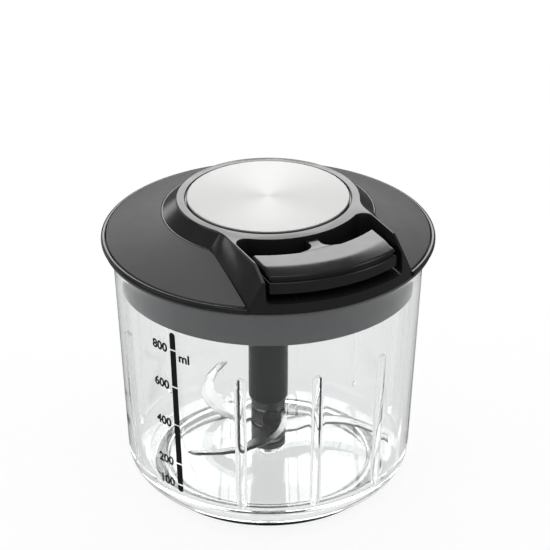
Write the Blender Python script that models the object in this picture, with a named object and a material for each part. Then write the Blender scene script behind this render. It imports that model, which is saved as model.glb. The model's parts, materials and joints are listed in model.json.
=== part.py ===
# Pull-cord food chopper
# A clear bowl with a blade unit on a steel pin, and a lid that holds a sprung cord reel.
# Metres, +Z up. The origin is on the bowl's axis at the table, and the handle is pulled towards -Y.

import math

import bmesh
import bpy
from mathutils import Matrix, Vector

MM = 0.001

# Clearance between pieces that touch or turn in each other
GAP = 0.3 * MM

# Bowl
BOWL_RIM_Z = 108.0 * MM
BOWL_RIM_R = 64.8 * MM
BOWL_TAPER = math.radians(2.96)
BOWL_WALL = 2.6 * MM
BOWL_CORNER_R = 14.0 * MM
BOWL_UNDERSIDE_Z = 2.2 * MM
FLOOR_Z = 9.5 * MM
FLOOR_THICKNESS = 2.6 * MM
FLOOR_CORNER_R = 8.0 * MM
FOOT_WALL = 5.0 * MM

# Ribs inside the bowl
RIB_PITCH = math.radians(30.0)
RIB_SLOTS = 12
RIB_PHASE = math.radians(-36.6)
RIB_LEFT_OUT = 11
RIB_WIDTH = 4.8 * MM
RIB_HEIGHT = 2.0 * MM
RIB_TOP_Z = 77.6 * MM
RIB_BOTTOM_Z = 12.5 * MM
RIB_STEPS = 4
RIB_POINT = 0.1

# Non-slip ring and pivot pin
RING_OUTER_R = 48.7 * MM
RING_WIDTH = 3.6 * MM
RING_TONGUE = 1.4 * MM
PIN_R = 2.0 * MM
PIN_TOP_Z = 34.0 * MM
PIN_ROOT_Z = 8.4 * MM
PIN_BOSS_R = 5.0 * MM
PIN_BOSS_Z = 12.4 * MM

# Blade unit
COLUMN_R = 8.4 * MM
COLUMN_WALL = 2.2 * MM
COLUMN_FOOT_Z = 36.0 * MM
COLUMN_TOP_Z = 94.0 * MM
SPIGOT_LENGTH = 7.0 * MM
CARRIER_R = 7.4 * MM
CARRIER_CORE_R = 4.6 * MM
HEX_FLAT_R = 5.6 * MM
HEX_TOP_Z = 106.0 * MM
BLADE_THICKNESS = 1.2 * MM
BLADE_EDGE = 0.3 * MM
BLADE_REACH = 52.0 * MM
BLADE_SWEEP = math.radians(52.0)
BLADE_ROOT_WIDTH = 12.0 * MM
BLADE_TIP_WIDTH = 5.0 * MM
BLADE_BEVEL = 2.6 * MM
BLADE_HEIGHTS = {"blade_lower": 16.0 * MM, "blade_middle": 23.5 * MM, "blade_upper": 31.0 * MM}
BLADE_RISE = 1.6 * MM
BLADE_RISE_START = 0.25
BLADE_SWEEP_POWER = 1.5
BLADE_PHASE = math.radians(20.0)
BLADE_STEPS = 8
BLADE_EYE_R = 6.6 * MM

# Inner lid
SKIRT_BOTTOM_Z = 93.0 * MM
SKIRT_CLEARANCE = 0.6 * MM
SKIRT_WALL = 2.2 * MM
PLATE_Z = 97.0 * MM
PLATE_THICKNESS = 2.4 * MM
FLANGE_OVERHANG = 3.7 * MM
FLANGE_THICKNESS = 1.1 * MM
SEAL_THICKNESS = 0.9 * MM
SEAL_WIDTH = 2.0 * MM
BEARING_WALL = 2.6 * MM
BEARING_TOP_Z = 108.4 * MM

# Drive socket and reel
SOCKET_WALL = 3.2 * MM
SOCKET_BOTTOM_Z = 98.4 * MM
SOCKET_FLANGE_R = 17.0 * MM
SOCKET_FLANGE = 2.0 * MM
DRUM_R = 24.0 * MM
DRUM_WALL = 2.0 * MM
DRUM_FLANGE_R = 33.0 * MM
DRUM_FLANGE = 1.5 * MM
DRUM_WIDTH = 13.2 * MM
DRUM_CAP = 1.2 * MM
POST_R = 4.5 * MM
POST_BOTTOM_Z = 113.0 * MM
SPRING_STRIP = 0.5 * MM
SPRING_HEIGHT = 7.0 * MM
SPRING_TURNS = 5
SPRING_POINTS = 16

# Cord
CORD_R = 1.0 * MM
CORD_PITCH = 2.5 * MM
CORD_TURNS = 2.75
CORD_BEND_R = 6.0 * MM
LOOP_POINTS = 24
CORD_RUN_POINTS = 4
KNOT_R = 1.8 * MM

# Cover: crown, arms and brim
CROWN_TOP_Z = 129.4 * MM
CROWN_EDGE = 0.5 * MM
HUB_TOP_R = 38.2 * MM
HUB_BASE_R = 43.3 * MM
HUB_BASE_Z = 124.0 * MM
ARM_TOP_X = 31.5 * MM
ARM_BASE_X = 36.6 * MM
ARM_FILLET_R = 18.0 * MM
BRIM_EDGE_Z = 113.5 * MM
INLAY_R = 67.6 * MM
INLAY_THICKNESS = 1.3 * MM
COVER_WALL = 2.0 * MM
TOP_PLATE = 1.5 * MM
LIP_WIDTH = 1.8 * MM
SILL_SETBACK = 1.0 * MM
SILL_LEAN = 0.9 * MM
SILL_TOP_Z = 124.1 * MM
ARM_SLOPE_RUN = 7.0 * MM
ARM_END_HALF_ANGLE = math.radians(32.6)

# Recess for the handle
RECESS_HALF_WIDTH = 30.4 * MM
RECESS_BACK_R = 39.5 * MM
RECESS_CORNER_R = 4.0 * MM
RECESS_FLOOR_Z = 115.2 * MM
RECESS_FLOOR_EDGE = 2.0 * MM

# Steel disc
DISC_R = 33.7 * MM
DISC_THICKNESS = 1.4 * MM
DISC_TOP_Z = 129.9 * MM
DISC_GROOVE = 0.5 * MM

# Handle
HANDLE_BACK_V = 48.4 * MM
HANDLE_BACK_ARC_R = 55.0 * MM
HANDLE_FLAT_R = 58.3 * MM
HANDLE_FRONT_R = 65.3 * MM
HANDLE_TOP_Z = 127.3 * MM
HANDLE_STEM_TOP_Z = 127.7 * MM
HANDLE_PARTING_Z = 124.7 * MM
HANDLE_BOTTOM_Z = 118.5 * MM
HANDLE_BACK_X = 27.6 * MM
HANDLE_FRONT_X = 28.0 * MM
HANDLE_CORNER_R = 2.0 * MM
HANDLE_FALL_POWER = 1.3
HANDLE_SIDE_EDGE = 1.6 * MM
HANDLE_FRONT_EDGE = 0.8 * MM
HANDLE_BACK_EDGE = 0.5 * MM
HANDLE_LIP = 0.9 * MM
HANDLE_LIP_SIDE = 0.3 * MM
HANDLE_GROOVE = 0.9 * MM
HANDLE_GROOVE_DEPTH = 1.3 * MM
STEM_TIP_HALF_WIDTH = 2.8 * MM
STEM_NECK_HALF_WIDTH = 2.4 * MM
STEM_NECK_V = 43.5 * MM
STEM_FLARE_X = 8.5 * MM
STEM_CHANNEL_R = 1.4 * MM

# Screws
LID_SCREW_COUNT = 4
LID_SCREW_PITCH_R = 50.0 * MM
LID_BOSS_R = 3.8 * MM
SCREW_SHANK_R = 1.4 * MM
SCREW_HEAD_R = 2.7 * MM
SCREW_HEAD = 1.8 * MM
CROSS_ARM = 1.6 * MM
CROSS_HALF_WIDTH = 0.43 * MM
LID_SCREW_HEAD_Z = 103.0 * MM
LID_SCREW_LENGTH = 12.0 * MM
HANDLE_SCREW_X = 16.0 * MM
HANDLE_SCREW_LENGTH = 5.0 * MM

# Cord guide in the hub's front wall
GUIDE_R = 3.0 * MM
GUIDE_FLANGE_R = 3.4 * MM
GUIDE_FLANGE = 1.0 * MM
GUIDE_BORE_R = 1.6 * MM

# Facets around round pieces
STEPS_LARGE = 60
STEPS_MEDIUM = STEPS_LARGE // 2
STEPS_SMALL = 12
STEPS_CORNER = 6
STEPS_FILLET = 5
STEPS_EDGE = 3
LIP_STEPS = 49

# Reach of cutters past the material that they cut, and distance within which points are one
OVER = 4.0 * MM
MERGE_DISTANCE = 0.001 * MM

# Angle up to which neighbouring facets are shaded as one surface
SMOOTH_ANGLE = math.radians(35.0)

# Values that follow from the sizes above
LIP_R = INLAY_R + LIP_WIDTH
SILL_R = LIP_R - SILL_SETBACK
SILL_TOP_R = SILL_R - SILL_LEAN
ARM_SHOULDER_R = SILL_TOP_R - ARM_SLOPE_RUN
FLANGE_R = BOWL_RIM_R + FLANGE_OVERHANG
BRIM_FALL = (HUB_BASE_Z - BRIM_EDGE_Z) / (INLAY_R - HUB_BASE_R)
FLANGE_BOTTOM_Z = BOWL_RIM_Z + GAP + SEAL_THICKNESS + GAP
FLANGE_TOP_Z = FLANGE_BOTTOM_Z + FLANGE_THICKNESS
COVER_BOTTOM_Z = FLANGE_TOP_Z + GAP
SOCKET_R = HEX_FLAT_R / math.cos(math.pi / 6) + GAP + SOCKET_WALL
SOCKET_FLANGE_Z = BEARING_TOP_Z + GAP
DRUM_Z = SOCKET_FLANGE_Z + SOCKET_FLANGE + GAP
DRUM_TOP_Z = DRUM_Z + DRUM_WIDTH
WINDING_R = DRUM_R + GAP + CORD_R
CORD_Z = DRUM_TOP_Z - DRUM_FLANGE - 2 * GAP - CORD_R
HANDLE_STOP_R = RECESS_BACK_R + GAP
CAVITY_R = RECESS_BACK_R - COVER_WALL


# Colours, roughness and metal of each material
FINISHES = {
    "clear_plastic": ((0.90, 0.92, 0.92, 0.35), 0.05, 0.0),
    "black_rubber": ((0.015, 0.015, 0.015, 1.0), 0.75, 0.0),
    "black_plastic": ((0.030, 0.030, 0.032, 1.0), 0.35, 0.0),
    "matt_plastic": ((0.105, 0.105, 0.110, 1.0), 0.45, 0.0),
    "grey_plastic": ((0.085, 0.085, 0.090, 1.0), 0.40, 0.0),
    "white_plastic": ((0.75, 0.75, 0.72, 1.0), 0.45, 0.0),
    "steel": ((0.62, 0.62, 0.61, 1.0), 0.25, 1.0),
    "brushed_steel": ((0.70, 0.70, 0.69, 1.0), 0.35, 1.0),
    "cord": ((0.70, 0.70, 0.68, 1.0), 0.80, 0.0),
}


def clear_scene():
    for old in list(bpy.data.objects):
        bpy.data.objects.remove(old, do_unlink=True)


def material(piece, finish):
    color, roughness, metallic = FINISHES[finish]
    mat = bpy.data.materials.new(piece)
    mat.use_nodes = True
    shader = mat.node_tree.nodes["Principled BSDF"]
    shader.inputs["Base Color"].default_value = color
    shader.inputs["Roughness"].default_value = roughness
    shader.inputs["Metallic"].default_value = metallic
    shader.inputs["Alpha"].default_value = color[3]
    return mat


def add_object(name, bm, finish=None):
    """Put a bmesh in the scene; a shape without a finish is a guide."""
    bmesh.ops.recalc_face_normals(bm, faces=bm.faces)
    mesh = bpy.data.meshes.new(name)
    bm.to_mesh(mesh)
    bm.free()
    mesh.shade_smooth()
    mesh.set_sharp_from_angle(angle=SMOOTH_ANGLE)
    obj = bpy.data.objects.new(name, mesh)
    bpy.context.collection.objects.link(obj)
    if finish is None:
        obj.hide_render = True
        obj.display_type = "WIRE"
    else:
        mesh.materials.append(material(name, finish))
    return obj


def combine(target, tool, operation):
    """Union, difference or intersection with a guide shape."""
    modifier = target.modifiers.new(tool.name, "BOOLEAN")
    modifier.operation = operation
    modifier.solver = "EXACT"
    modifier.object = tool
    return target


def cut(target, tool):
    return combine(target, tool, "DIFFERENCE")


def join(target, tool):
    return combine(target, tool, "UNION")


def keep_common(target, tool):
    return combine(target, tool, "INTERSECT")


def lathe(profile, steps, start=0.0, sweep=2.0 * math.pi):
    """Turn a closed outline of (radius, height) points about the Z axis."""
    bm = bmesh.new()
    full = sweep == 2.0 * math.pi
    turn = Matrix.Rotation(start, 4, "Z")
    verts = [bm.verts.new(turn @ Vector((r, 0.0, z))) for r, z in profile]
    edges = [bm.edges.new((a, b)) for a, b in zip(verts, verts[1:])]
    if profile[0][0] > 0.0 or profile[-1][0] > 0.0:
        edges.append(bm.edges.new((verts[-1], verts[0])))
    if not full:
        bm.faces.new(verts)
    bmesh.ops.spin(
        bm, geom=verts + edges + list(bm.faces), cent=(0, 0, 0), axis=(0, 0, 1),
        angle=sweep, steps=steps, use_merge=full)
    bmesh.ops.remove_doubles(bm, verts=bm.verts, dist=MERGE_DISTANCE)
    return bm


def loft(rings):
    """Join rings of equal point counts with quads, and cap the first and the last."""
    bm = bmesh.new()
    rows = [[bm.verts.new(p) for p in ring] for ring in rings]
    for low, high in zip(rows, rows[1:]):
        for i in range(len(low)):
            j = (i + 1) % len(low)
            bm.faces.new((low[i], low[j], high[j], high[i]))
    bm.faces.new(rows[0][::-1])
    bm.faces.new(rows[-1])
    return bm


def prism(outline, low, high):
    """Extrude a plan outline of (x, y) points between two heights."""
    return loft([[(x, y, z) for x, y in outline] for z in (low, high)])


def add_rod(bm, radius, low, high, x=0.0, y=0.0, steps=STEPS_SMALL):
    """Add an upright round rod to a bmesh."""
    bmesh.ops.create_cone(
        bm, cap_ends=True, segments=steps, radius1=radius, radius2=radius, depth=high - low,
        matrix=Matrix.Translation((x, y, (low + high) / 2)))


def rod(radius, low, high, steps):
    """Upright round rod on the axis."""
    bm = bmesh.new()
    add_rod(bm, radius, low, high, steps=steps)
    return bm


def pull_rod(radius, near, far):
    """Round rod along the pull, at the cord's height, between two distances from the axis."""
    bm = rod(radius, near, far, STEPS_SMALL)
    bm.transform(Matrix.Translation((0.0, 0.0, CORD_Z)) @ Matrix.Rotation(math.pi / 2, 4, "X"))
    return bm


def arc(cx, cy, radius, first, last, count):
    """Points of an arc in a plane, from one angle to another."""
    points = []
    for i in range(count + 1):
        angle = first + (last - first) * i / count
        points.append((cx + radius * math.cos(angle), cy + radius * math.sin(angle)))
    return points


def bowl_outer_r(z):
    return BOWL_RIM_R - (BOWL_RIM_Z - z) * math.tan(BOWL_TAPER)


def bowl_inner_r(z):
    return bowl_outer_r(z) - BOWL_WALL


def brim_z(r):
    """Height of the sloping brim's surface at a radius."""
    return HUB_BASE_Z - (r - HUB_BASE_R) * BRIM_FALL


def polar(radius, angle):
    """Point at an angle from the pull direction, positive towards +X."""
    return (radius * math.sin(angle), -radius * math.cos(angle))


def corner_arc(wall_r, bottom_z, radius, steps):
    """Arc from a tapered wall into a flat bottom; wall_r gives the wall's radius at a height."""
    center_z = bottom_z + radius
    center_r = wall_r(center_z) - radius / math.cos(BOWL_TAPER)
    return arc(center_r, center_z, radius, -BOWL_TAPER, -math.pi / 2, steps)


def build_bowl():
    outer = corner_arc(bowl_outer_r, BOWL_UNDERSIDE_Z, BOWL_CORNER_R, STEPS_CORNER)
    inner = corner_arc(bowl_inner_r, FLOOR_Z, FLOOR_CORNER_R, STEPS_CORNER - 2)
    foot_inner_r = RING_OUTER_R - FOOT_WALL
    ceiling_z = FLOOR_Z - FLOOR_THICKNESS
    boss_r = PIN_BOSS_R
    profile = [(0.0, ceiling_z), (foot_inner_r, ceiling_z), (foot_inner_r, BOWL_UNDERSIDE_Z)]
    profile += outer[::-1]
    profile += [(BOWL_RIM_R, BOWL_RIM_Z), (BOWL_RIM_R - BOWL_WALL, BOWL_RIM_Z)]
    profile += inner
    profile += [(boss_r, FLOOR_Z), (boss_r, PIN_BOSS_Z), (0.0, PIN_BOSS_Z)]
    bowl = add_object("bowl", lathe(profile, STEPS_LARGE), "clear_plastic")
    pin_hole = rod(PIN_R + GAP, PIN_ROOT_Z - GAP, PIN_BOSS_Z + OVER, STEPS_SMALL)
    cut(bowl, add_object("guide_pin_hole", pin_hole))
    groove_outer = RING_OUTER_R - RING_WIDTH / 2 + RING_TONGUE / 2 + GAP
    groove_inner = groove_outer - RING_TONGUE - 2 * GAP
    groove_top = BOWL_UNDERSIDE_Z + RING_TONGUE + GAP
    groove = lathe(
        [(groove_inner, groove_top), (groove_inner, 0.0), (groove_outer, 0.0), (groove_outer, groove_top)],
        STEPS_LARGE)
    cut(bowl, add_object("guide_ring_groove", groove))
    ribs = bmesh.new()
    for slot in range(RIB_SLOTS):
        if slot != RIB_LEFT_OUT:
            add_rib(ribs, RIB_PHASE + slot * RIB_PITCH)
    join(bowl, add_object("guide_ribs", ribs))
    return bowl


def add_rib(bm, angle):
    """Half-round rib that stands on the inner wall, with a round top and a pointed foot."""
    half = RIB_WIDTH / 2
    sections = [(RIB_POINT, RIB_BOTTOM_Z), (1.0, RIB_BOTTOM_Z + RIB_WIDTH), (1.0, RIB_TOP_Z - half)]
    for i in range(1, RIB_STEPS + 1):
        tip = math.pi / 2 * i / RIB_STEPS
        sections.append((max(RIB_POINT, math.cos(tip)), RIB_TOP_Z - half * (1 - math.sin(tip))))
    rings = []
    for share, z in sections:
        root = bowl_inner_r(z)
        wall = root + BOWL_WALL / 2
        outline = arc(0.0, 0.0, share, 0.0, math.pi, STEPS_SMALL // 2)
        ring = [(root - RIB_HEIGHT * inward, half * side) for side, inward in outline]
        ring += [(wall, -half * share), (wall, half * share)]
        placed = []
        for depth, side in ring:
            x, y = polar(depth, angle)
            placed.append((x + side * math.cos(angle), y + side * math.sin(angle), z))
        rings.append(placed)
    part = loft(rings)
    bmesh.ops.recalc_face_normals(part, faces=part.faces)
    mesh = bpy.data.meshes.new("guide_rib")
    part.to_mesh(mesh)
    part.free()
    bm.from_mesh(mesh)
    bpy.data.meshes.remove(mesh)


def build_base():
    inner = RING_OUTER_R - RING_WIDTH
    mid = RING_OUTER_R - RING_WIDTH / 2
    top = BOWL_UNDERSIDE_Z - GAP
    tongue = BOWL_UNDERSIDE_Z + RING_TONGUE
    profile = [
        (inner, 0.0), (RING_OUTER_R - CROWN_EDGE, 0.0), (RING_OUTER_R, CROWN_EDGE), (RING_OUTER_R, top),
        (mid + RING_TONGUE / 2, top), (mid + RING_TONGUE / 2, tongue),
        (mid - RING_TONGUE / 2, tongue), (mid - RING_TONGUE / 2, top), (inner, top)]
    add_object("base_ring", lathe(profile, STEPS_LARGE), "black_rubber")
    tip = PIN_R / 2
    profile = [
        (0.0, PIN_ROOT_Z), (PIN_R, PIN_ROOT_Z), (PIN_R, PIN_TOP_Z - tip), (tip, PIN_TOP_Z), (0.0, PIN_TOP_Z)]
    add_object("pivot_pin", lathe(profile, STEPS_SMALL), "steel")


def hexagon(flat_r):
    corner = flat_r / math.cos(math.pi / 6)
    return [polar(corner, math.pi / 3 * k) for k in range(6)]


def build_blade_unit():
    groove = BLADE_THICKNESS / 2 + GAP
    low = PIN_BOSS_Z + GAP
    top = COLUMN_FOOT_Z - GAP
    spigot_r = COLUMN_R - COLUMN_WALL - GAP
    bore_r = PIN_R + GAP
    bore_top = PIN_TOP_Z + GAP
    profile = [(0.0, bore_top), (bore_r, bore_top), (bore_r, low), (CARRIER_R, low)]
    for height in BLADE_HEIGHTS.values():
        profile += [
            (CARRIER_R, height - groove), (CARRIER_CORE_R, height - groove),
            (CARRIER_CORE_R, height + groove), (CARRIER_R, height + groove)]
    profile += [(CARRIER_R, top - CROWN_EDGE), (CARRIER_R - CROWN_EDGE, top), (spigot_r, top)]
    profile += [(spigot_r, top + SPIGOT_LENGTH), (0.0, top + SPIGOT_LENGTH)]
    add_object("blade_carrier", lathe(profile, STEPS_MEDIUM), "black_plastic")

    bore_r = COLUMN_R - COLUMN_WALL
    cap = COLUMN_TOP_Z - COLUMN_WALL
    profile = [
        (0.0, cap), (bore_r, cap), (bore_r, COLUMN_FOOT_Z), (COLUMN_R, COLUMN_FOOT_Z),
        (COLUMN_R, COLUMN_TOP_Z - CROWN_EDGE), (COLUMN_R - CROWN_EDGE, COLUMN_TOP_Z), (0.0, COLUMN_TOP_Z)]
    column = add_object("blade_column", lathe(profile, STEPS_MEDIUM), "black_plastic")
    edge = 2 * CROWN_EDGE
    sections = [
        (HEX_FLAT_R, COLUMN_TOP_Z - COLUMN_WALL / 2), (HEX_FLAT_R, HEX_TOP_Z - edge),
        (HEX_FLAT_R - edge, HEX_TOP_Z)]
    rings = [[(x, y, z) for x, y in hexagon(flat)] for flat, z in sections]
    join(column, add_object("guide_column_head", loft(rings)))
    for index, (name, height) in enumerate(BLADE_HEIGHTS.items()):
        build_blade(name, height, index)


def build_blade(name, height, index):
    """Sickle blade with a round eye: its leading edge is ground thin and its tip sweeps back."""
    clear_r = CARRIER_CORE_R + GAP
    half = BLADE_THICKNESS / 2
    lead = BLADE_EDGE / 2
    eye = lathe([(clear_r, -half), (BLADE_EYE_R, -half), (BLADE_EYE_R, half), (clear_r, half)], STEPS_MEDIUM)
    blade = add_object(name, eye, "steel")
    start_r = (2 * clear_r + BLADE_EYE_R) / 3
    rings = []
    for i in range(BLADE_STEPS + 1):
        share = i / BLADE_STEPS
        radius = start_r + (BLADE_REACH - start_r) * share
        angle = -BLADE_SWEEP * share ** BLADE_SWEEP_POWER
        width = BLADE_ROOT_WIDTH + (BLADE_TIP_WIDTH - BLADE_ROOT_WIDTH) * share if i else CARRIER_CORE_R
        rise = BLADE_RISE * max(0.0, share - BLADE_RISE_START) ** 2
        ground = width / 2 - min(BLADE_BEVEL, width / 3)
        section = [(-width / 2, half), (ground, half), (width / 2, lead)]
        section += [(side, -thick) for side, thick in section[::-1]]
        ring = []
        for side, thick in section:
            x = radius * math.cos(angle) - side * math.sin(angle)
            y = radius * math.sin(angle) + side * math.cos(angle)
            ring.append((x, y, thick + rise))
        rings.append(ring)
    join(blade, add_object("guide_" + name, loft(rings)))
    cut(blade, add_object("guide_eye_" + name, rod(clear_r, -OVER, OVER, STEPS_MEDIUM)))
    turn = 2 * math.pi * index / len(BLADE_HEIGHTS) + BLADE_PHASE
    for obj in [blade] + [m.object for m in blade.modifiers]:
        obj.location = (0.0, 0.0, height)
        obj.rotation_euler = (0.0, 0.0, turn)


def lid_screw_places():
    for k in range(LID_SCREW_COUNT):
        yield polar(LID_SCREW_PITCH_R, 2 * math.pi * (k + 0.5) / LID_SCREW_COUNT)


def build_lid_base():
    skirt_low = bowl_inner_r(SKIRT_BOTTOM_Z) - SKIRT_CLEARANCE
    skirt_high = bowl_inner_r(BOWL_RIM_Z) - SKIRT_CLEARANCE
    bore_r = SOCKET_R + GAP
    tube_r = bore_r + BEARING_WALL
    plate_top = PLATE_Z + PLATE_THICKNESS
    profile = [
        (bore_r, PLATE_Z), (skirt_low - SKIRT_WALL, PLATE_Z), (skirt_low - SKIRT_WALL, SKIRT_BOTTOM_Z),
        (skirt_low, SKIRT_BOTTOM_Z), (skirt_high, FLANGE_BOTTOM_Z), (FLANGE_R, FLANGE_BOTTOM_Z),
        (FLANGE_R, FLANGE_TOP_Z), (skirt_high - SKIRT_WALL, FLANGE_TOP_Z),
        (skirt_low - SKIRT_WALL, plate_top), (tube_r, plate_top), (tube_r, BEARING_TOP_Z),
        (bore_r, BEARING_TOP_Z)]
    base = add_object("lid_base", lathe(profile, STEPS_LARGE), "grey_plastic")
    bosses = bmesh.new()
    holes = bmesh.new()
    for x, y in lid_screw_places():
        add_rod(bosses, LID_BOSS_R, plate_top - PLATE_THICKNESS / 2, FLANGE_TOP_Z, x, y)
        add_rod(holes, SCREW_HEAD_R + GAP, PLATE_Z - OVER, LID_SCREW_HEAD_Z + SCREW_HEAD, x, y)
    shanks = bmesh.new()
    for x, y in lid_screw_places():
        add_rod(shanks, SCREW_SHANK_R + GAP, LID_SCREW_HEAD_Z, FLANGE_TOP_Z + OVER, x, y)
    join(base, add_object("guide_base_bosses", bosses))
    cut(base, add_object("guide_base_counterbores", holes))
    cut(base, add_object("guide_base_holes", shanks))

    low = BOWL_RIM_Z + GAP
    inner = skirt_high + GAP
    profile = [(inner, low), (inner + SEAL_WIDTH, low), (inner + SEAL_WIDTH, low + SEAL_THICKNESS),
               (inner, low + SEAL_THICKNESS)]
    add_object("rim_seal", lathe(profile, STEPS_LARGE), "white_plastic")


def arm_stations():
    """Distances along the pull where the arms' walls have their lines, out past the lip."""
    shoulder = math.sqrt(ARM_SHOULDER_R ** 2 - ARM_TOP_X ** 2)
    sill = math.sqrt(SILL_TOP_R ** 2 - ARM_TOP_X ** 2)
    return [shoulder, (shoulder + sill) / 2, sill, LIP_R + OVER]


def arm_top_z(v):
    """Height of the arms' outer top edge: level with the crown, then down a slope to the sill."""
    share = (math.hypot(ARM_TOP_X, v) - ARM_SHOULDER_R) / ARM_SLOPE_RUN
    return CROWN_TOP_Z - (CROWN_TOP_Z - SILL_TOP_Z) * min(1.0, max(0.0, share))


def crown_outline(hub_r, arm_x):
    """Closed plan ring: round hub at the back, concave fillets, straight arms and a flat front."""
    center_x = arm_x + ARM_FILLET_R
    center_v = math.sqrt((hub_r + ARM_FILLET_R) ** 2 - center_x ** 2)
    touch = math.atan2(center_x, center_v)
    steps = STEPS_LARGE * 3 // 10
    right = [polar(hub_r, math.pi - (math.pi - touch) * i / steps) for i in range(steps + 1)]
    for i in range(1, STEPS_FILLET + 1):
        angle = touch + (math.pi / 2 - touch) * i / STEPS_FILLET
        right.append((center_x - ARM_FILLET_R * math.sin(angle), ARM_FILLET_R * math.cos(angle) - center_v))
    right += [(arm_x, -v) for v in arm_stations()]
    left = [(-x, y) for x, y in right[::-1]]
    return right + left[:-1]


def crown_shape(grow=0.0):
    """Crown's drafted wall from below the brim to its top edge, split alike at every size."""
    top_z = CROWN_TOP_Z - CROWN_EDGE
    top = crown_outline(HUB_TOP_R + grow, ARM_TOP_X + grow)
    edge = crown_outline(HUB_TOP_R + grow - CROWN_EDGE, ARM_TOP_X + grow - CROWN_EDGE)
    base = crown_outline(HUB_BASE_R + grow, ARM_BASE_X + grow)
    rings = [[], [], [], []]
    for (tx, ty), (ex, ey), (bx, by) in zip(top, edge, base):
        bz = brim_z(math.hypot(bx, by))
        meet_z = min(top_z, arm_top_z(-ty))
        lift = (top_z - meet_z) / (meet_z - bz)
        sink = (INLAY_THICKNESS + GAP + COVER_WALL / 2) / (meet_z - bz)
        low_x, low_y = bx + (bx - tx) * sink, by + (by - ty) * sink
        high_x, high_y = (tx - bx) * lift, (ty - by) * lift
        rings[0].append((low_x, low_y, COVER_BOTTOM_Z - 4 * OVER))
        rings[1].append((low_x, low_y, bz + (bz - meet_z) * sink))
        rings[2].append((tx + high_x, ty + high_y, top_z))
        rings[3].append((ex + high_x, ey + high_y, CROWN_TOP_Z))
    bm = loft(rings)
    bmesh.ops.triangulate(bm, faces=[f for f in bm.faces if len(f.verts) == 4], quad_method="FIXED")
    return bm


def build_cover():
    shelf = INLAY_THICKNESS + GAP
    brim_edge_r = INLAY_R + GAP
    shelf_edge_r = brim_edge_r + GAP
    hub_shelf_r = HUB_BASE_R - OVER
    low = COVER_BOTTOM_Z - OVER / 4
    profile = [
        (0.0, low), (shelf_edge_r, low), (shelf_edge_r, brim_z(shelf_edge_r) - shelf),
        (hub_shelf_r, brim_z(hub_shelf_r) - shelf), (0.0, brim_z(hub_shelf_r) - shelf)]
    cover = add_object("lid_cover", lathe(profile, STEPS_LARGE), "black_plastic")

    low = COVER_BOTTOM_Z - OVER / 2
    root_r = brim_edge_r - COVER_WALL / 2
    lip_z = brim_z(LIP_R)
    lip_root_z = brim_z(brim_edge_r) - shelf - GAP
    lip = [
        (root_r, low), (FLANGE_R, low), (FLANGE_R, COVER_BOTTOM_Z), (LIP_R, lip_z - 2 * CROWN_EDGE),
        (LIP_R, lip_z - CROWN_EDGE / 2), (LIP_R - CROWN_EDGE, brim_z(LIP_R - CROWN_EDGE)),
        (brim_edge_r, brim_z(brim_edge_r)), (brim_edge_r, lip_root_z), (root_r, lip_root_z - GAP)]
    around = 2 * (math.pi - ARM_END_HALF_ANGLE)
    first = -math.pi / 2 + ARM_END_HALF_ANGLE
    join(cover, add_object("guide_lip", lathe(lip, LIP_STEPS, first, around)))

    crown = add_object("guide_crown", crown_shape())
    low = COVER_BOTTOM_Z - OVER * 3 / 4
    envelope = [
        (0.0, low), (SILL_R, low), (SILL_R, COVER_BOTTOM_Z), (SILL_TOP_R, SILL_TOP_Z - CROWN_EDGE),
        (SILL_TOP_R - CROWN_EDGE, SILL_TOP_Z + CROWN_EDGE / 2),
        (ARM_SHOULDER_R + CROWN_EDGE, CROWN_TOP_Z - CROWN_EDGE),
        (ARM_SHOULDER_R - CROWN_EDGE, CROWN_TOP_Z), (ARM_SHOULDER_R - CROWN_EDGE, CROWN_TOP_Z + OVER),
        (0.0, CROWN_TOP_Z + OVER)]
    keep_common(crown, add_object("guide_envelope", lathe(envelope, STEPS_LARGE)))
    join(cover, crown)

    cavity = add_object("guide_cavity", lathe(cavity_profile(), STEPS_LARGE))
    guard = prism(recess_outline(COVER_WALL), RECESS_FLOOR_Z - COVER_WALL, CROWN_TOP_Z + OVER)
    cut(cavity, add_object("guide_recess_guard", guard))
    low = COVER_BOTTOM_Z - 2 * OVER
    hole_r = SCREW_SHANK_R + GAP
    wall = [(hole_r, low), (LID_BOSS_R, low), (LID_BOSS_R, CROWN_TOP_Z), (hole_r, CROWN_TOP_Z)]
    for number, (x, y) in enumerate(lid_screw_places(), start=1):
        boss = add_object("guide_cover_boss_%d" % number, lathe(wall, STEPS_SMALL))
        boss.location = (x, y, 0.0)
        cut(cavity, boss)
    cut(cover, cavity)
    below = rod(LIP_R + OVER, COVER_BOTTOM_Z - 2 * OVER, COVER_BOTTOM_Z, STEPS_SMALL)
    cut(cover, add_object("guide_cover_underside", below))

    cut(cover, add_object("guide_recess", loft(recess_rings())))
    disc_bottom = DISC_TOP_Z - DISC_THICKNESS - GAP
    disc_cut = rod(DISC_R + DISC_GROOVE, disc_bottom, CROWN_TOP_Z + OVER, STEPS_LARGE)
    cut(cover, add_object("guide_disc_recess", disc_cut))
    bore = pull_rod(GUIDE_R + GAP, CAVITY_R - 2 * OVER, CAVITY_R + 2 * OVER)
    cut(cover, add_object("guide_cord_hole", bore))


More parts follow.
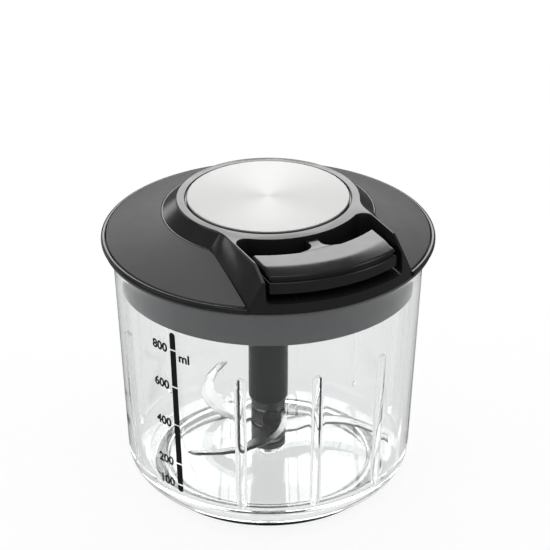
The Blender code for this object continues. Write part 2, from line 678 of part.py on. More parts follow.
def cavity_profile():
    """Hollow under the cover, open downwards, with the axle post left standing in its middle."""
    wall = INLAY_THICKNESS + GAP + COVER_WALL
    ceiling = DISC_TOP_Z - DISC_THICKNESS - GAP - TOP_PLATE
    shoulder_r = HUB_BASE_R - COVER_WALL / 2
    rim_r = INLAY_R - 2 * COVER_WALL
    rim_z = max(brim_z(rim_r) - wall, COVER_BOTTOM_Z + CROWN_EDGE / 4)
    return [
        (0.0, POST_BOTTOM_Z), (POST_R, POST_BOTTOM_Z), (POST_R, ceiling),
        (HUB_TOP_R - 2 * COVER_WALL, ceiling), (shoulder_r, brim_z(shoulder_r) - wall), (rim_r, rim_z),
        (rim_r, COVER_BOTTOM_Z - OVER), (0.0, COVER_BOTTOM_Z - OVER)]


def recess_outline(grow=0.0, inset=0.0):
    """Plan of the handle's recess: concave hub wall, round corners and straight sides to the front."""
    half = RECESS_HALF_WIDTH + grow - inset
    back = RECESS_BACK_R - grow + inset
    corner = RECESS_CORNER_R
    center_x = half - corner
    center_v = math.sqrt((back + corner) ** 2 - center_x ** 2)
    touch = math.atan2(center_x, center_v)
    steps = 2 * STEPS_CORNER
    right = [polar(back, touch * i / steps) for i in range(steps + 1)]
    for i in range(1, STEPS_CORNER + 1):
        angle = touch + math.pi - (touch + math.pi / 2) * i / STEPS_CORNER
        right.append((center_x + corner * math.sin(angle), -(center_v + corner * math.cos(angle))))
    right.append((half, -(LIP_R + 2 * OVER)))
    left = [(-x, y) for x, y in right[1:][::-1]]
    return right + left


def recess_rings():
    """Recess cutter with a rounded edge around its floor."""
    rings = []
    steps = STEPS_CORNER // 2
    for i in range(steps + 1):
        angle = math.pi / 2 * i / steps
        inset = RECESS_FLOOR_EDGE * (1 - math.sin(angle))
        rise = RECESS_FLOOR_EDGE * (1 - math.cos(angle))
        rings.append([(x, y, RECESS_FLOOR_Z + rise) for x, y in recess_outline(inset=inset)])
    rings.append([(x, y, CROWN_TOP_Z + OVER) for x, y in recess_outline()])
    return rings


def build_inlay_and_disc():
    top_in = HUB_BASE_R - OVER
    profile = [
        (top_in, brim_z(top_in) - INLAY_THICKNESS), (INLAY_R, brim_z(INLAY_R) - INLAY_THICKNESS),
        (INLAY_R, brim_z(INLAY_R) - GAP), (INLAY_R - GAP, brim_z(INLAY_R - GAP)), (top_in, brim_z(top_in))]
    inlay = add_object("brim_plate", lathe(profile, STEPS_LARGE), "matt_plastic")
    cut(inlay, add_object("guide_inlay_opening", crown_shape(GAP)))

    bottom = DISC_TOP_Z - DISC_THICKNESS
    profile = [
        (0.0, bottom), (DISC_R, bottom), (DISC_R, DISC_TOP_Z - GAP), (DISC_R - GAP, DISC_TOP_Z),
        (0.0, DISC_TOP_Z)]
    add_object("steel_disc", lathe(profile, STEPS_LARGE), "brushed_steel")


def build_reel():
    profile = [
        (0.0, SOCKET_BOTTOM_Z), (SOCKET_R, SOCKET_BOTTOM_Z), (SOCKET_R, SOCKET_FLANGE_Z),
        (SOCKET_FLANGE_R, SOCKET_FLANGE_Z), (SOCKET_FLANGE_R, SOCKET_FLANGE_Z + SOCKET_FLANGE),
        (0.0, SOCKET_FLANGE_Z + SOCKET_FLANGE)]
    socket = add_object("drive_socket", lathe(profile, STEPS_MEDIUM), "white_plastic")
    pocket = prism(hexagon(HEX_FLAT_R + GAP), SOCKET_BOTTOM_Z - OVER, HEX_TOP_Z + GAP)
    cut(socket, add_object("guide_hex_pocket", pocket))

    chamber_r = DRUM_R - DRUM_WALL
    floor = DRUM_Z + DRUM_WALL
    bore_r = POST_R + GAP
    profile = [
        (bore_r, DRUM_Z), (DRUM_FLANGE_R, DRUM_Z), (DRUM_FLANGE_R, DRUM_Z + DRUM_FLANGE),
        (DRUM_R, DRUM_Z + DRUM_FLANGE), (DRUM_R, DRUM_TOP_Z - DRUM_FLANGE),
        (DRUM_FLANGE_R, DRUM_TOP_Z - DRUM_FLANGE), (DRUM_FLANGE_R, DRUM_TOP_Z), (chamber_r, DRUM_TOP_Z),
        (chamber_r, floor), (bore_r, floor)]
    add_object("drum", lathe(profile, STEPS_MEDIUM), "white_plastic")
    low = DRUM_TOP_Z + GAP
    cap_r = DRUM_R + DRUM_WALL
    profile = [(bore_r, low), (cap_r, low), (cap_r, low + DRUM_CAP), (bore_r, low + DRUM_CAP)]
    add_object("drum_cap", lathe(profile, STEPS_MEDIUM), "white_plastic")
    build_mainspring(POST_R + GAP, chamber_r - GAP, floor + GAP)


def build_mainspring(inner, outer, low):
    """Flat strip in an even spiral between the axle post and the chamber's wall."""
    count = SPRING_TURNS * SPRING_POINTS
    travel = outer - inner - SPRING_STRIP
    rings = []
    for i in range(count + 1):
        angle = 2 * math.pi * i / SPRING_POINTS
        r = inner + travel * i / count
        section = [(r, low), (r + SPRING_STRIP, low)]
        section += [(r + SPRING_STRIP, low + SPRING_HEIGHT), (r, low + SPRING_HEIGHT)]
        rings.append([(radius * math.cos(angle), radius * math.sin(angle), z) for radius, z in section])
    add_object("mainspring", loft(rings), "steel")
    print("mainspring gap between turns, mm:", round((travel / SPRING_TURNS - SPRING_STRIP) / MM, 3))


def cord_points():
    """Whole cord: turns on the drum, tangent run to the guide, bend, and straight run to the knot."""
    mouth = CAVITY_R - COVER_WALL
    touch = math.acos(WINDING_R / mouth)
    leave = -math.pi / 2 - touch
    points = []
    steps = int(CORD_TURNS * LOOP_POINTS)
    for i in range(steps + 1):
        back = 2 * math.pi * (steps - i) / LOOP_POINTS
        z = CORD_Z - CORD_PITCH * (steps - i) / LOOP_POINTS
        angle = leave - back
        points.append(Vector((WINDING_R * math.cos(angle), WINDING_R * math.sin(angle), z)))
    start = points[-1]
    corner = Vector((0.0, -mouth, CORD_Z))
    inward = (corner - start).normalized()
    outward = Vector((0.0, -1.0, 0.0))
    bend = inward.angle(outward)
    reach = CORD_BEND_R * math.tan(bend / 2)
    side = Vector((-inward.y, inward.x, 0.0))
    if side.dot(outward) < 0:
        side = -side
    enter = corner - inward * reach
    center = enter + side * CORD_BEND_R
    for i in range(1, CORD_RUN_POINTS):
        points.append(start.lerp(enter, i / CORD_RUN_POINTS))
    sign = math.copysign(1.0, inward.cross(outward).z)
    for i in range(CORD_RUN_POINTS + 1):
        turn = Matrix.Rotation(sign * bend * i / CORD_RUN_POINTS, 3, "Z")
        points.append(center + turn @ (enter - center))
    last = points[-1]
    end = Vector((0.0, -(knot_y() - KNOT_R - GAP), CORD_Z))
    for i in range(1, CORD_RUN_POINTS):
        points.append(last.lerp(end, i / CORD_RUN_POINTS))
    points.append(end)
    return points


def knot_y():
    """Distance of the knot's centre from the axis, along the pull."""
    return HANDLE_BACK_V + KNOT_R + 2 * GAP


def build_cord():
    points = cord_points()
    curve = bpy.data.curves.new("pull_cord", "CURVE")
    curve.dimensions = "3D"
    curve.bevel_depth = CORD_R
    curve.bevel_resolution = 1
    curve.use_fill_caps = True
    spline = curve.splines.new("POLY")
    spline.points.add(len(points) - 1)
    for target, point in zip(spline.points, points):
        target.co = (point.x, point.y, point.z, 1.0)
    curve.materials.append(material("pull_cord", "cord"))
    cord = bpy.data.objects.new("pull_cord", curve)
    bpy.context.collection.objects.link(cord)
    least = min(
        (points[i] - points[j]).length
        for i in range(len(points)) for j in range(i + LOOP_POINTS // 2, len(points)))
    print("pull_cord least gap to itself, mm:", round((least - 2 * CORD_R) / MM, 3))

    knot = bmesh.new()
    bmesh.ops.create_icosphere(
        knot, subdivisions=2, radius=KNOT_R, matrix=Matrix.Translation((0.0, -knot_y(), CORD_Z)))
    add_object("cord_knot", knot, "cord")

    flange = CAVITY_R - GAP - COVER_WALL / 4
    length = RECESS_BACK_R - flange + GUIDE_FLANGE - GAP
    profile = [
        (GUIDE_BORE_R, 0.0), (GUIDE_FLANGE_R, 0.0), (GUIDE_FLANGE_R, GUIDE_FLANGE), (GUIDE_R, GUIDE_FLANGE),
        (GUIDE_R, length), (GUIDE_BORE_R, length)]
    guide = add_object("cord_guide", lathe(profile, STEPS_SMALL), "white_plastic")
    guide.rotation_euler = (math.pi / 2, 0.0, 0.0)
    guide.location = (0.0, -(flange - GUIDE_FLANGE), CORD_Z)


def handle_top_height(r):
    """Top of the grip at a radius: flat, then falling to the front edge above the groove."""
    if r <= HANDLE_FLAT_R:
        return HANDLE_TOP_Z
    share = (r - HANDLE_FLAT_R) / (HANDLE_FRONT_R - HANDLE_FLAT_R)
    front_z = HANDLE_PARTING_Z + GAP + HANDLE_FRONT_EDGE
    return HANDLE_TOP_Z - (HANDLE_TOP_Z - front_z) * min(1.0, share) ** HANDLE_FALL_POWER


def rounding(distance, radius):
    """Depth of a rounded edge below the surface at a distance from the edge."""
    near = min(distance, radius)
    return radius - math.sqrt(radius ** 2 - (radius - near) ** 2)


def back_arc_v(x):
    """Back edge of the grip at a distance from its middle."""
    return HANDLE_BACK_V - HANDLE_BACK_ARC_R + math.sqrt(HANDLE_BACK_ARC_R ** 2 - x * x)


def grip_back_v(x, half_width):
    """Back edge of the grip with its round corners."""
    into = abs(x) - (half_width - HANDLE_CORNER_R)
    if into <= 0.0:
        return back_arc_v(x)
    return back_arc_v(x) + HANDLE_CORNER_R - math.sqrt(max(0.0, HANDLE_CORNER_R ** 2 - into ** 2))


def edge_lines():
    """Distances from the grip's sides and front where its lines stand."""
    lines = [HANDLE_CORNER_R, HANDLE_GROOVE_DEPTH + GAP, HANDLE_GROOVE_DEPTH]
    turn = math.pi / 2 / STEPS_EDGE
    return lines + [HANDLE_FRONT_EDGE * (1 - math.sin(turn * i)) for i in range(STEPS_EDGE + 1)]


def grip_columns(half_width):
    """Shares of the half width where the grip's lines stand, closer at its round ends."""
    flat = 1 - HANDLE_CORNER_R / half_width
    half = [flat * i / STEPS_FILLET for i in range(STEPS_FILLET)]
    half += [1 - line / half_width for line in edge_lines()]
    return [-u for u in half[:0:-1]] + half


def grip_rows(depth, back_edge):
    """Shares of the grip's depth where its rows stand, closer at its rounded edges."""
    back = back_edge / depth
    flat = (HANDLE_FLAT_R - HANDLE_BACK_V) / depth
    rows = [0.0, back * (1 - math.cos(math.pi / 4)), back, (back + flat) / 2]
    front = [1 - line / depth for line in edge_lines()]
    return rows + [flat + (front[0] - flat) * i / STEPS_EDGE for i in range(STEPS_EDGE)] + front


def rim_of(grid):
    """Points around the outside of a grid of lines."""
    back = [line[0] for line in grid]
    front = [line[-1] for line in grid[-2::-1]]
    return back + grid[-1][1:] + front + grid[0][-2:0:-1]


def build_grip(bottom_z, top_of, front_r, lip_side, side_edge, back_edge, groove):
    """Closed curved grip: flat underside, top with rounded edges, and a groove let into its rim."""
    half_width = HANDLE_BACK_X + lip_side
    columns = grip_columns(half_width)
    rows = grip_rows(front_r - HANDLE_BACK_V, back_edge)
    bm = bmesh.new()
    top = []
    low = []
    for u in columns:
        back_x = u * half_width
        front_x = u * (HANDLE_FRONT_X + lip_side)
        back_v = grip_back_v(back_x, half_width)
        depth = math.sqrt(front_r ** 2 - front_x ** 2) - back_v
        top_line = []
        low_line = []
        for share in rows:
            x = back_x + (front_x - back_x) * share
            v = back_v + depth * share
            side = (1 - abs(u)) * half_width
            front = (1 - share) * (front_r - HANDLE_BACK_V)
            level = top_of(math.hypot(x, v))
            if min(side, front) < HANDLE_GROOVE_DEPTH + GAP / 2:
                level -= groove
            room = level - bottom_z - GAP
            drop = max(
                rounding(side, min(side_edge, room)), rounding(share * depth, back_edge),
                rounding(front, min(HANDLE_FRONT_EDGE, room)))
            top_line.append(bm.verts.new((x, -v, level - drop)))
            low_line.append(bm.verts.new((x, -v, bottom_z)))
        top.append(top_line)
        low.append(low_line)
    for i in range(len(columns) - 1):
        for j in range(len(rows) - 1):
            bm.faces.new((top[i][j], top[i + 1][j], top[i + 1][j + 1], top[i][j + 1]))
    foot = rim_of(low)
    crest = rim_of(top)
    for k, vert in enumerate(foot):
        bm.faces.new((vert, foot[k - 1], crest[k - 1], crest[k]))
    bm.faces.new(foot)
    bmesh.ops.delete(bm, geom=[v for v in bm.verts if not v.link_faces], context="VERTS")
    return bm


def stem_half_width(v):
    """Half width of the stem at a distance from the axis: tip, neck, then a flare into the grip."""
    if v <= STEM_NECK_V:
        share = (STEM_NECK_V - v) / (STEM_NECK_V - HANDLE_STOP_R)
        return STEM_NECK_HALF_WIDTH + (STEM_TIP_HALF_WIDTH - STEM_NECK_HALF_WIDTH) * share ** 2
    share = min(1.0, (v - STEM_NECK_V) / stem_flare_length())
    return STEM_NECK_HALF_WIDTH + (STEM_FLARE_X - STEM_NECK_HALF_WIDTH) * (1 - math.sqrt(1 - share ** 2))


def stem_flare_length():
    """Length of the flare along the pull, up to the grip's back edge at the flare's sides."""
    return back_arc_v(STEM_FLARE_X) - STEM_NECK_V


def stem_stations():
    """Distances from the axis where the stem has its sections, into the grip at the end."""
    tip = STEM_NECK_V - HANDLE_STOP_R
    stations = [HANDLE_STOP_R + tip * i / STEPS_EDGE for i in range(STEPS_EDGE + 1)]
    for i in range(1, STEPS_CORNER + 1):
        stations.append(STEM_NECK_V + stem_flare_length() * math.sin(math.pi / 2 * i / STEPS_CORNER))
    return stations + [HANDLE_BACK_V + 2 * HANDLE_BACK_EDGE]


def build_stem(bottom_z, tip_z, root_z):
    """Stem between the grip and the hub: flat underside, and a top that slopes from tip to root."""
    root_v = HANDLE_BACK_V + HANDLE_BACK_EDGE
    rings = []
    for v in stem_stations():
        half = stem_half_width(v)
        z = tip_z + (root_z - tip_z) * (v - HANDLE_STOP_R) / (root_v - HANDLE_STOP_R)
        section = arc(half - HANDLE_BACK_EDGE, z - HANDLE_BACK_EDGE, HANDLE_BACK_EDGE, 0.0, math.pi / 2, 2)
        ring = [(half, bottom_z)] + section
        ring += [(-x, height) for x, height in ring[::-1]]
        rings.append([(x, -v, height) for x, height in ring])
    return loft(rings)


def build_handle():
    seam = HANDLE_PARTING_Z
    lower_seam = seam - GAP
    grip = build_grip(
        seam, handle_top_height, HANDLE_FRONT_R, 0.0, HANDLE_SIDE_EDGE, HANDLE_BACK_EDGE, 0.0)
    upper = add_object("handle_top", grip, "black_plastic")
    stem = build_stem(seam, HANDLE_STEM_TOP_Z, HANDLE_TOP_Z)
    join(upper, add_object("guide_stem_top", stem))
    grip = build_grip(
        HANDLE_BOTTOM_Z, lambda r: lower_seam, HANDLE_FRONT_R + HANDLE_LIP, HANDLE_LIP_SIDE,
        HANDLE_FRONT_EDGE, GAP, HANDLE_GROOVE)
    lower = add_object("handle_bottom", grip, "black_plastic")
    stem = build_stem(HANDLE_BOTTOM_Z, lower_seam, lower_seam)
    join(lower, add_object("guide_stem_bottom", stem))
    channel = pull_rod(STEM_CHANNEL_R, HANDLE_STOP_R - OVER, knot_y())
    cut(lower, add_object("guide_stem_channel", channel))
    pocket = bmesh.new()
    add_rod(pocket, KNOT_R + GAP, CORD_Z - KNOT_R - GAP, seam, 0.0, -knot_y())
    cut(lower, add_object("guide_knot_pocket", pocket))
    shanks = bmesh.new()
    heads = bmesh.new()
    head_top = HANDLE_BOTTOM_Z + GAP + SCREW_HEAD + GAP
    for x, y in handle_screw_places():
        add_rod(shanks, SCREW_SHANK_R + GAP, HANDLE_BOTTOM_Z - OVER, screw_tip_z() + GAP, x, y)
        add_rod(heads, SCREW_HEAD_R + GAP, HANDLE_BOTTOM_Z - OVER, head_top, x, y)
    shank_holes = add_object("guide_handle_holes", shanks)
    cut(lower, shank_holes)
    cut(upper, shank_holes)
    cut(lower, add_object("guide_handle_heads", heads))


def handle_screw_places():
    """Left and right screw, midway between the grip's back and front edges."""
    front_v = math.sqrt(HANDLE_FRONT_R ** 2 - HANDLE_SCREW_X ** 2)
    for side in (-1, 1):
        yield side * HANDLE_SCREW_X, -(back_arc_v(HANDLE_SCREW_X) + front_v) / 2


def screw_tip_z():
    """Height of the handle screws' upper end."""
    return HANDLE_BOTTOM_Z + GAP + SCREW_HEAD + HANDLE_SCREW_LENGTH


def build_screw(name, x, y, head_z, length):
    """Round-headed screw that points up, with a cross recess in its head."""
    crown = SCREW_HEAD / 3
    profile = [
        (0.0, 0.0), (SCREW_HEAD_R - crown, 0.0), (SCREW_HEAD_R, crown), (SCREW_HEAD_R, SCREW_HEAD),
        (SCREW_SHANK_R, SCREW_HEAD), (SCREW_SHANK_R, SCREW_HEAD + length - SCREW_SHANK_R),
        (SCREW_SHANK_R / 3, SCREW_HEAD + length), (0.0, SCREW_HEAD + length)]
    screw = add_object(name, lathe(profile, STEPS_SMALL // 2), "steel")
    slot = CROSS_HALF_WIDTH
    quarter = [(CROSS_ARM, -slot), (CROSS_ARM, slot), (slot, slot)]
    outline = []
    for k in range(4):
        turn = Matrix.Rotation(math.pi / 2 * k, 2)
        outline += [turn @ Vector(corner) for corner in quarter]
    cross = add_object("guide_cross_" + name, prism(outline, -SCREW_HEAD, SCREW_HEAD / 2))
    cut(screw, cross)
    for obj in (screw, cross):
        obj.location = (x, y, head_z)


def build_screws():
    for number, (x, y) in enumerate(lid_screw_places(), start=1):
        build_screw("lid_screw_%d" % number, x, y, LID_SCREW_HEAD_Z - GAP, LID_SCREW_LENGTH)
    for name, (x, y) in zip(("left", "right"), handle_screw_places()):
        build_screw("handle_screw_" + name, x, y, HANDLE_BOTTOM_Z + GAP, HANDLE_SCREW_LENGTH)


def build_parts():
    clear_scene()
    build_bowl()
    build_base()
    build_blade_unit()
    build_lid_base()
    build_cover()
    build_inlay_and_disc()
    build_reel()
    build_cord()
    build_handle()
    build_screws()


build_parts()
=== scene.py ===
# Pull-cord food chopper: surfaces, materials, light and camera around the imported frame.
# Metres, +Z up, in the frame's own axes. The handle is pulled towards -Y.

import json
import math

import bmesh
import bpy
from mathutils import Matrix, Vector


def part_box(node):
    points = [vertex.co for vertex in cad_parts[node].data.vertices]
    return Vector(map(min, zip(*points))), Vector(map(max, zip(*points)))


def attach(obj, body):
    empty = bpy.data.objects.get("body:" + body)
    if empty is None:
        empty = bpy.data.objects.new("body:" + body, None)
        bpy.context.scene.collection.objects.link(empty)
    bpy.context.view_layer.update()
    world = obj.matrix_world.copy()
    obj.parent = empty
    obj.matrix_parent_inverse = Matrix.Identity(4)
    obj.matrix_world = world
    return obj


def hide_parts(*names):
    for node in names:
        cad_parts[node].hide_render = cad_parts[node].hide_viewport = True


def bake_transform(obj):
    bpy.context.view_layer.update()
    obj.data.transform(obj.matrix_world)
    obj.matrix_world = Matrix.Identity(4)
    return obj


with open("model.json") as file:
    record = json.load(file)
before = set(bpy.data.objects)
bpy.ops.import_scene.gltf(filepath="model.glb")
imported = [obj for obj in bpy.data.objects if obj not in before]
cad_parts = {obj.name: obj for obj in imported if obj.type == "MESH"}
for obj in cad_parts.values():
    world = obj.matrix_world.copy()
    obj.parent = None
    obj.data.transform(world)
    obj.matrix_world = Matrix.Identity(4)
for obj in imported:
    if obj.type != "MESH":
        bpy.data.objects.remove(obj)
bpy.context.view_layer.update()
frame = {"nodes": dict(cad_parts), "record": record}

MM = 0.001
GAP = 0.3 * MM
OVER = 4.0 * MM

# Facets around round pieces
STEPS = 168
STEPS_SMALL = 48
SMOOTH_ANGLE = math.radians(35.0)

# A corner's rounding takes up this share of an edge at most
EDGE_SHARE = 0.49

# Points nearer than these are one point: in a new outline, and after the cuts
MERGE_DISTANCE = 0.001 * MM
WELD_DISTANCE = 0.002 * MM

# Bowl
BOWL_RIM_Z = 108.0 * MM
BOWL_RIM_R = 64.8 * MM
BOWL_TAPER = math.radians(2.96)
BOWL_WALL = 2.6 * MM
BOWL_EDGE = 0.5 * MM
BOWL_CORNER_R = 14.0 * MM
BOWL_UNDERSIDE_Z = 2.2 * MM
FLOOR_Z = 9.5 * MM
FLOOR_THICKNESS = 2.6 * MM
FLOOR_CORNER_R = 8.0 * MM
FOOT_WALL = 5.0 * MM
FOOT_FILLET = 1.2 * MM
RIB_PITCH = math.radians(30.0)
RIB_SLOTS = 12
RIB_PHASE = math.radians(-36.6)
RIB_LEFT_OUT = 11
RIB_WIDTH = 4.8 * MM
RIB_HEIGHT = 2.0 * MM
RIB_TOP_Z = 77.6 * MM
RIB_BOTTOM_Z = 12.5 * MM
RIB_FOOT_LENGTH = 5.76 * MM
RIB_FOOT_SHARE = 0.08
RIB_TOP_SHARE = 0.04
RING_OUTER_R = 48.7 * MM
RING_WIDTH = 3.6 * MM
RING_EDGES = {0: 0.4 * MM, 1: 0.3 * MM, 2: 0.2 * MM, 3: 0.2 * MM}
PIN_R = 2.0 * MM
PIN_ROOT_Z = 8.4 * MM
PIN_BOSS_R = 5.0 * MM
PIN_BOSS_Z = 12.4 * MM
PIN_BOSS_FILLET = 0.8 * MM
PIN_BOSS_EDGE = 0.4 * MM

# Volume scale printed on the bowl
SCALE_ANGLE = math.radians(-63.1)
SCALE_BAR_WIDTH = 2.9 * MM
SCALE_LOW_Z = 16.3 * MM
SCALE_HIGH_Z = 93.2 * MM
SCALE_TICKS = (
    ("800", 85.0 * MM), ("600", 67.3 * MM), ("400", 49.0 * MM), ("200", 30.1 * MM), ("100", 19.7 * MM))
SCALE_TICK_GAP = 0.7 * MM
SCALE_TEXT_HEIGHT = 4.0 * MM
SCALE_TEXT_BOLD = 0.2 * MM
SCALE_TEXT_GAP = 1.6 * MM
SCALE_UNIT_GAP = 1.2 * MM
SCALE_UNIT_DROP = 0.6
CAPITAL_SHARE = 0.72
PRINT_THICKNESS = 0.05 * MM
PRINT_BACK = 0.004 * MM
PRINT_CELL = 1.2 * MM

# Blade unit
COLUMN_R = 8.4 * MM
COLUMN_STEP = 2.2 * MM
COLUMN_EDGE = 0.8 * MM
COLUMN_FOOT_Z = 36.0 * MM
COLUMN_TOP_Z = 94.0 * MM
HEAD_FLAT = 5.6 * MM
HEAD_ROOT = 1.0 * MM

# Lid
SKIRT_BOTTOM_Z = 93.0 * MM
SKIRT_CLEARANCE = 0.6 * MM
SKIRT_WALL = 2.2 * MM
PLATE_Z = 97.0 * MM
PLATE_THICKNESS = 2.4 * MM
FLANGE_R = 68.5 * MM
FLANGE_BOTTOM_Z = 109.5 * MM
FLANGE_TOP_Z = 110.6 * MM
FLANGE_EDGE = 0.5 * MM
SKIRT_EDGE = 0.5 * MM
SKIRT_FILLET = 0.4 * MM
PLATE_FILLET = 1.0 * MM
COVER_BOTTOM_Z = 110.9 * MM
CROWN_TOP_Z = 129.4 * MM
CROWN_EDGE = 0.7 * MM
HUB_TOP_R = 38.2 * MM
HUB_BASE_R = 43.3 * MM
HUB_BASE_Z = 124.0 * MM
ARM_TOP_X = 31.5 * MM
ARM_BASE_X = 36.6 * MM
ARM_FILLET_R = 18.0 * MM
BRIM_EDGE_Z = 113.5 * MM
INLAY_R = 67.6 * MM
INLAY_THICKNESS = 1.3 * MM
INLAY_GROOVE = 0.5 * MM
INLAY_EDGE_GROOVE = 0.7 * MM
INLAY_EDGE = 0.25 * MM
HUB_FOOT = 0.8 * MM
HUB_FOOT_EDGE = 0.15 * MM
LIP_CREST = 0.45 * MM
LIP_CREST_EDGE = 0.1 * MM
LIP_HEIGHT = 1.0 * MM
LIP_STEPS = 160
LIP_EDGE = 0.6 * MM
LIP_FOOT_EDGE = 0.3 * MM
COVER_WALL = 2.0 * MM
TOP_PLATE = 1.5 * MM
LIP_R = 69.4 * MM
SILL_R = 68.4 * MM
SILL_TOP_R = 67.5 * MM
SILL_TOP_Z = 124.1 * MM
SILL_EDGE = 0.8 * MM
SHOULDER_EDGE = 1.2 * MM
SHOULDER_RISE = 0.02 * MM
ARM_SHOULDER_R = 60.5 * MM
ARM_END_HALF_ANGLE = math.radians(32.6)
RECESS_HALF_WIDTH = 30.4 * MM
RECESS_BACK_R = 39.5 * MM
RECESS_CORNER_R = 4.0 * MM
RECESS_FLOOR_Z = 115.2 * MM
RECESS_FLOOR_EDGE = 2.0 * MM
RECESS_MOUTH = 0.25 * MM
CORD_BORE_R = 3.3 * MM
DISC_R = 33.7 * MM
DISC_THICKNESS = 1.4 * MM
DISC_TOP_Z = 129.9 * MM
DISC_GROOVE = 0.7 * MM
DISC_EDGE = 0.5 * MM
DISC_MOUTH = 0.3 * MM

# Handle
HANDLE_BACK_V = 48.4 * MM
HANDLE_BACK_ARC_R = 55.0 * MM
HANDLE_FLAT_R = 58.3 * MM
HANDLE_FRONT_R = 65.3 * MM
HANDLE_TOP_Z = 127.3 * MM
HANDLE_STEM_TOP_Z = 127.7 * MM
HANDLE_PARTING_Z = 124.7 * MM
HANDLE_BOTTOM_Z = 118.5 * MM
HANDLE_BACK_X = 27.6 * MM
HANDLE_FRONT_X = 28.0 * MM
HANDLE_CORNER_R = 2.0 * MM
HANDLE_FALL_POWER = 1.3
HANDLE_SIDE_EDGE = 1.6 * MM
HANDLE_FRONT_EDGE = 0.8 * MM
HANDLE_BACK_EDGE = 0.35 * MM
HANDLE_FOOT_EDGE = 0.5 * MM
HANDLE_LIP = 0.9 * MM
HANDLE_LIP_SIDE = 0.3 * MM
HANDLE_GROOVE = 0.9 * MM
HANDLE_GROOVE_DEPTH = 1.3 * MM
HANDLE_GROOVE_STEP = 0.1 * MM
HANDLE_LINE_GAP = 0.01 * MM
HANDLE_STOP_R = 39.8 * MM
HANDLE_SEAM_EDGE = 0.1 * MM
HANDLE_SCREW_X = 16.0 * MM
SCREW_HOLE_R = 3.0 * MM
SCREW_HOLE_DEPTH = 2.4 * MM
STEM_TIP_HALF_WIDTH = 2.8 * MM
STEM_NECK_HALF_WIDTH = 2.4 * MM
STEM_NECK_V = 43.5 * MM
STEM_FLARE_X = 8.5 * MM
STEM_CHANNEL_R = 1.4 * MM

# Cord
CORD_R = 1.0 * MM
CORD_Z = 121.1 * MM
CORD_MOUTH_Y = 35.5 * MM
WINDING_R = 25.3 * MM
CORD_PITCH = 2.5 * MM
CORD_TURNS = 2.75
KNOT_Y = 50.8 * MM
KNOT_R = 1.8 * MM
CORD_IN_KNOT = 0.5 * MM
CORD_BEND = 2.0 * MM
CORD_RUN_R = 0.98 * MM

# Camera, from the photograph's perspective
CAMERA_AZIMUTH = math.radians(-25.8)
CAMERA_ELEVATION = math.radians(25.9)
CAMERA_DISTANCE = 1.18
FOCAL_PIXELS = 2861.0
IMAGE_PIXELS = 550.0
LOOK_RIGHT_PIXELS = 6.8
LOOK_DOWN_PIXELS = 79.6
SENSOR_WIDTH = 36.0

# Stage: what the floor and the world show to light, to the eye and to mirrored rays
FLOOR_SIZE = 3.0
FLOOR_GREY = 0.92
FLOOR_ROUGHNESS = 0.9
FLOOR_GLOW_SHARE = 0.85
FLOOR_MIRRORED = 0.14
WORLD_AMBIENT = 0.6
WORLD_MIRRORED = 0.15
MIRRORINGS_IN_WALL = 3.5
WHITE = (1.0, 1.0, 1.0, 1.0)

# Lamps: degrees from the camera's azimuth, degrees of elevation, distance, width, height, radiance
LAMP_TARGET_Z = 90.0 * MM
SOFTBOXES = {
    "back_softbox": (180.0, 30.0, 1.3, 1.1, 0.62, 4.2),
    "top_softbox": (0.0, 80.0, 1.4, 0.8, 0.8, 1.3),
    "low_softbox": (-130.0, 7.0, 1.3, 1.0, 0.3, 1.7),
    "left_softbox": (-75.0, 25.0, 1.4, 0.9, 0.7, 1.3),
    "right_softbox": (75.0, 25.0, 1.5, 0.4, 0.9, 1.8),
}


def view_axes(azimuth, elevation):
    """Directions towards the camera, to its right and up, for a view from an azimuth and elevation."""
    level = math.cos(elevation)
    back = Vector((math.sin(azimuth) * level, -math.cos(azimuth) * level, math.sin(elevation)))
    right = Vector((math.cos(azimuth), math.sin(azimuth), 0.0))
    return back, right, back.cross(right)


def linked(name, data):
    """New object in the scene."""
    obj = bpy.data.objects.new(name, data)
    bpy.context.scene.collection.objects.link(obj)
    return obj


def place_camera():
    """Camera that gives the photograph's perspective."""
    back, right, up = view_axes(CAMERA_AZIMUTH, CAMERA_ELEVATION)
    disc = Vector((0.0, 0.0, DISC_TOP_Z))
    per_pixel = CAMERA_DISTANCE / FOCAL_PIXELS
    look = disc + right * LOOK_RIGHT_PIXELS * per_pixel - up * LOOK_DOWN_PIXELS * per_pixel
    data = bpy.data.cameras.new("camera")
    data.sensor_width = SENSOR_WIDTH
    data.lens = FOCAL_PIXELS / IMAGE_PIXELS * SENSOR_WIDTH
    camera = linked("camera", data)
    camera.location = disc + back * CAMERA_DISTANCE
    camera.rotation_euler = (look - camera.location).to_track_quat("-Z", "Y").to_euler()
    bpy.context.scene.camera = camera


def add_lamps():
    """Area lamps that face the object; a lamp's power follows from its size and radiance."""
    target = Vector((0.0, 0.0, LAMP_TARGET_Z))
    for name, (turn, elevation, distance, width, height, radiance) in SOFTBOXES.items():
        back, _, _ = view_axes(CAMERA_AZIMUTH + math.radians(turn), math.radians(elevation))
        data = bpy.data.lights.new(name, "AREA")
        data.shape = "RECTANGLE"
        data.size = width
        data.size_y = height
        data.energy = radiance * math.pi * width * height
        lamp = linked(name, data)
        lamp.location = target + back * distance
        lamp.rotation_euler = back.to_track_quat("Z", "Y").to_euler()


def add_node(tree, kind, inputs):
    """New node, with its inputs set to values or linked to sockets."""
    node = tree.nodes.new(kind)
    for key, value in inputs.items():
        if isinstance(value, bpy.types.NodeSocket):
            tree.links.new(value, node.inputs[key])
        else:
            node.inputs[key].default_value = value
    return node


def combined(tree, operation, first, second):
    """Clamped arithmetic with two values."""
    node = add_node(tree, "ShaderNodeMath", {0: first, 1: second})
    node.operation = operation
    node.use_clamp = True
    return node.outputs[0]


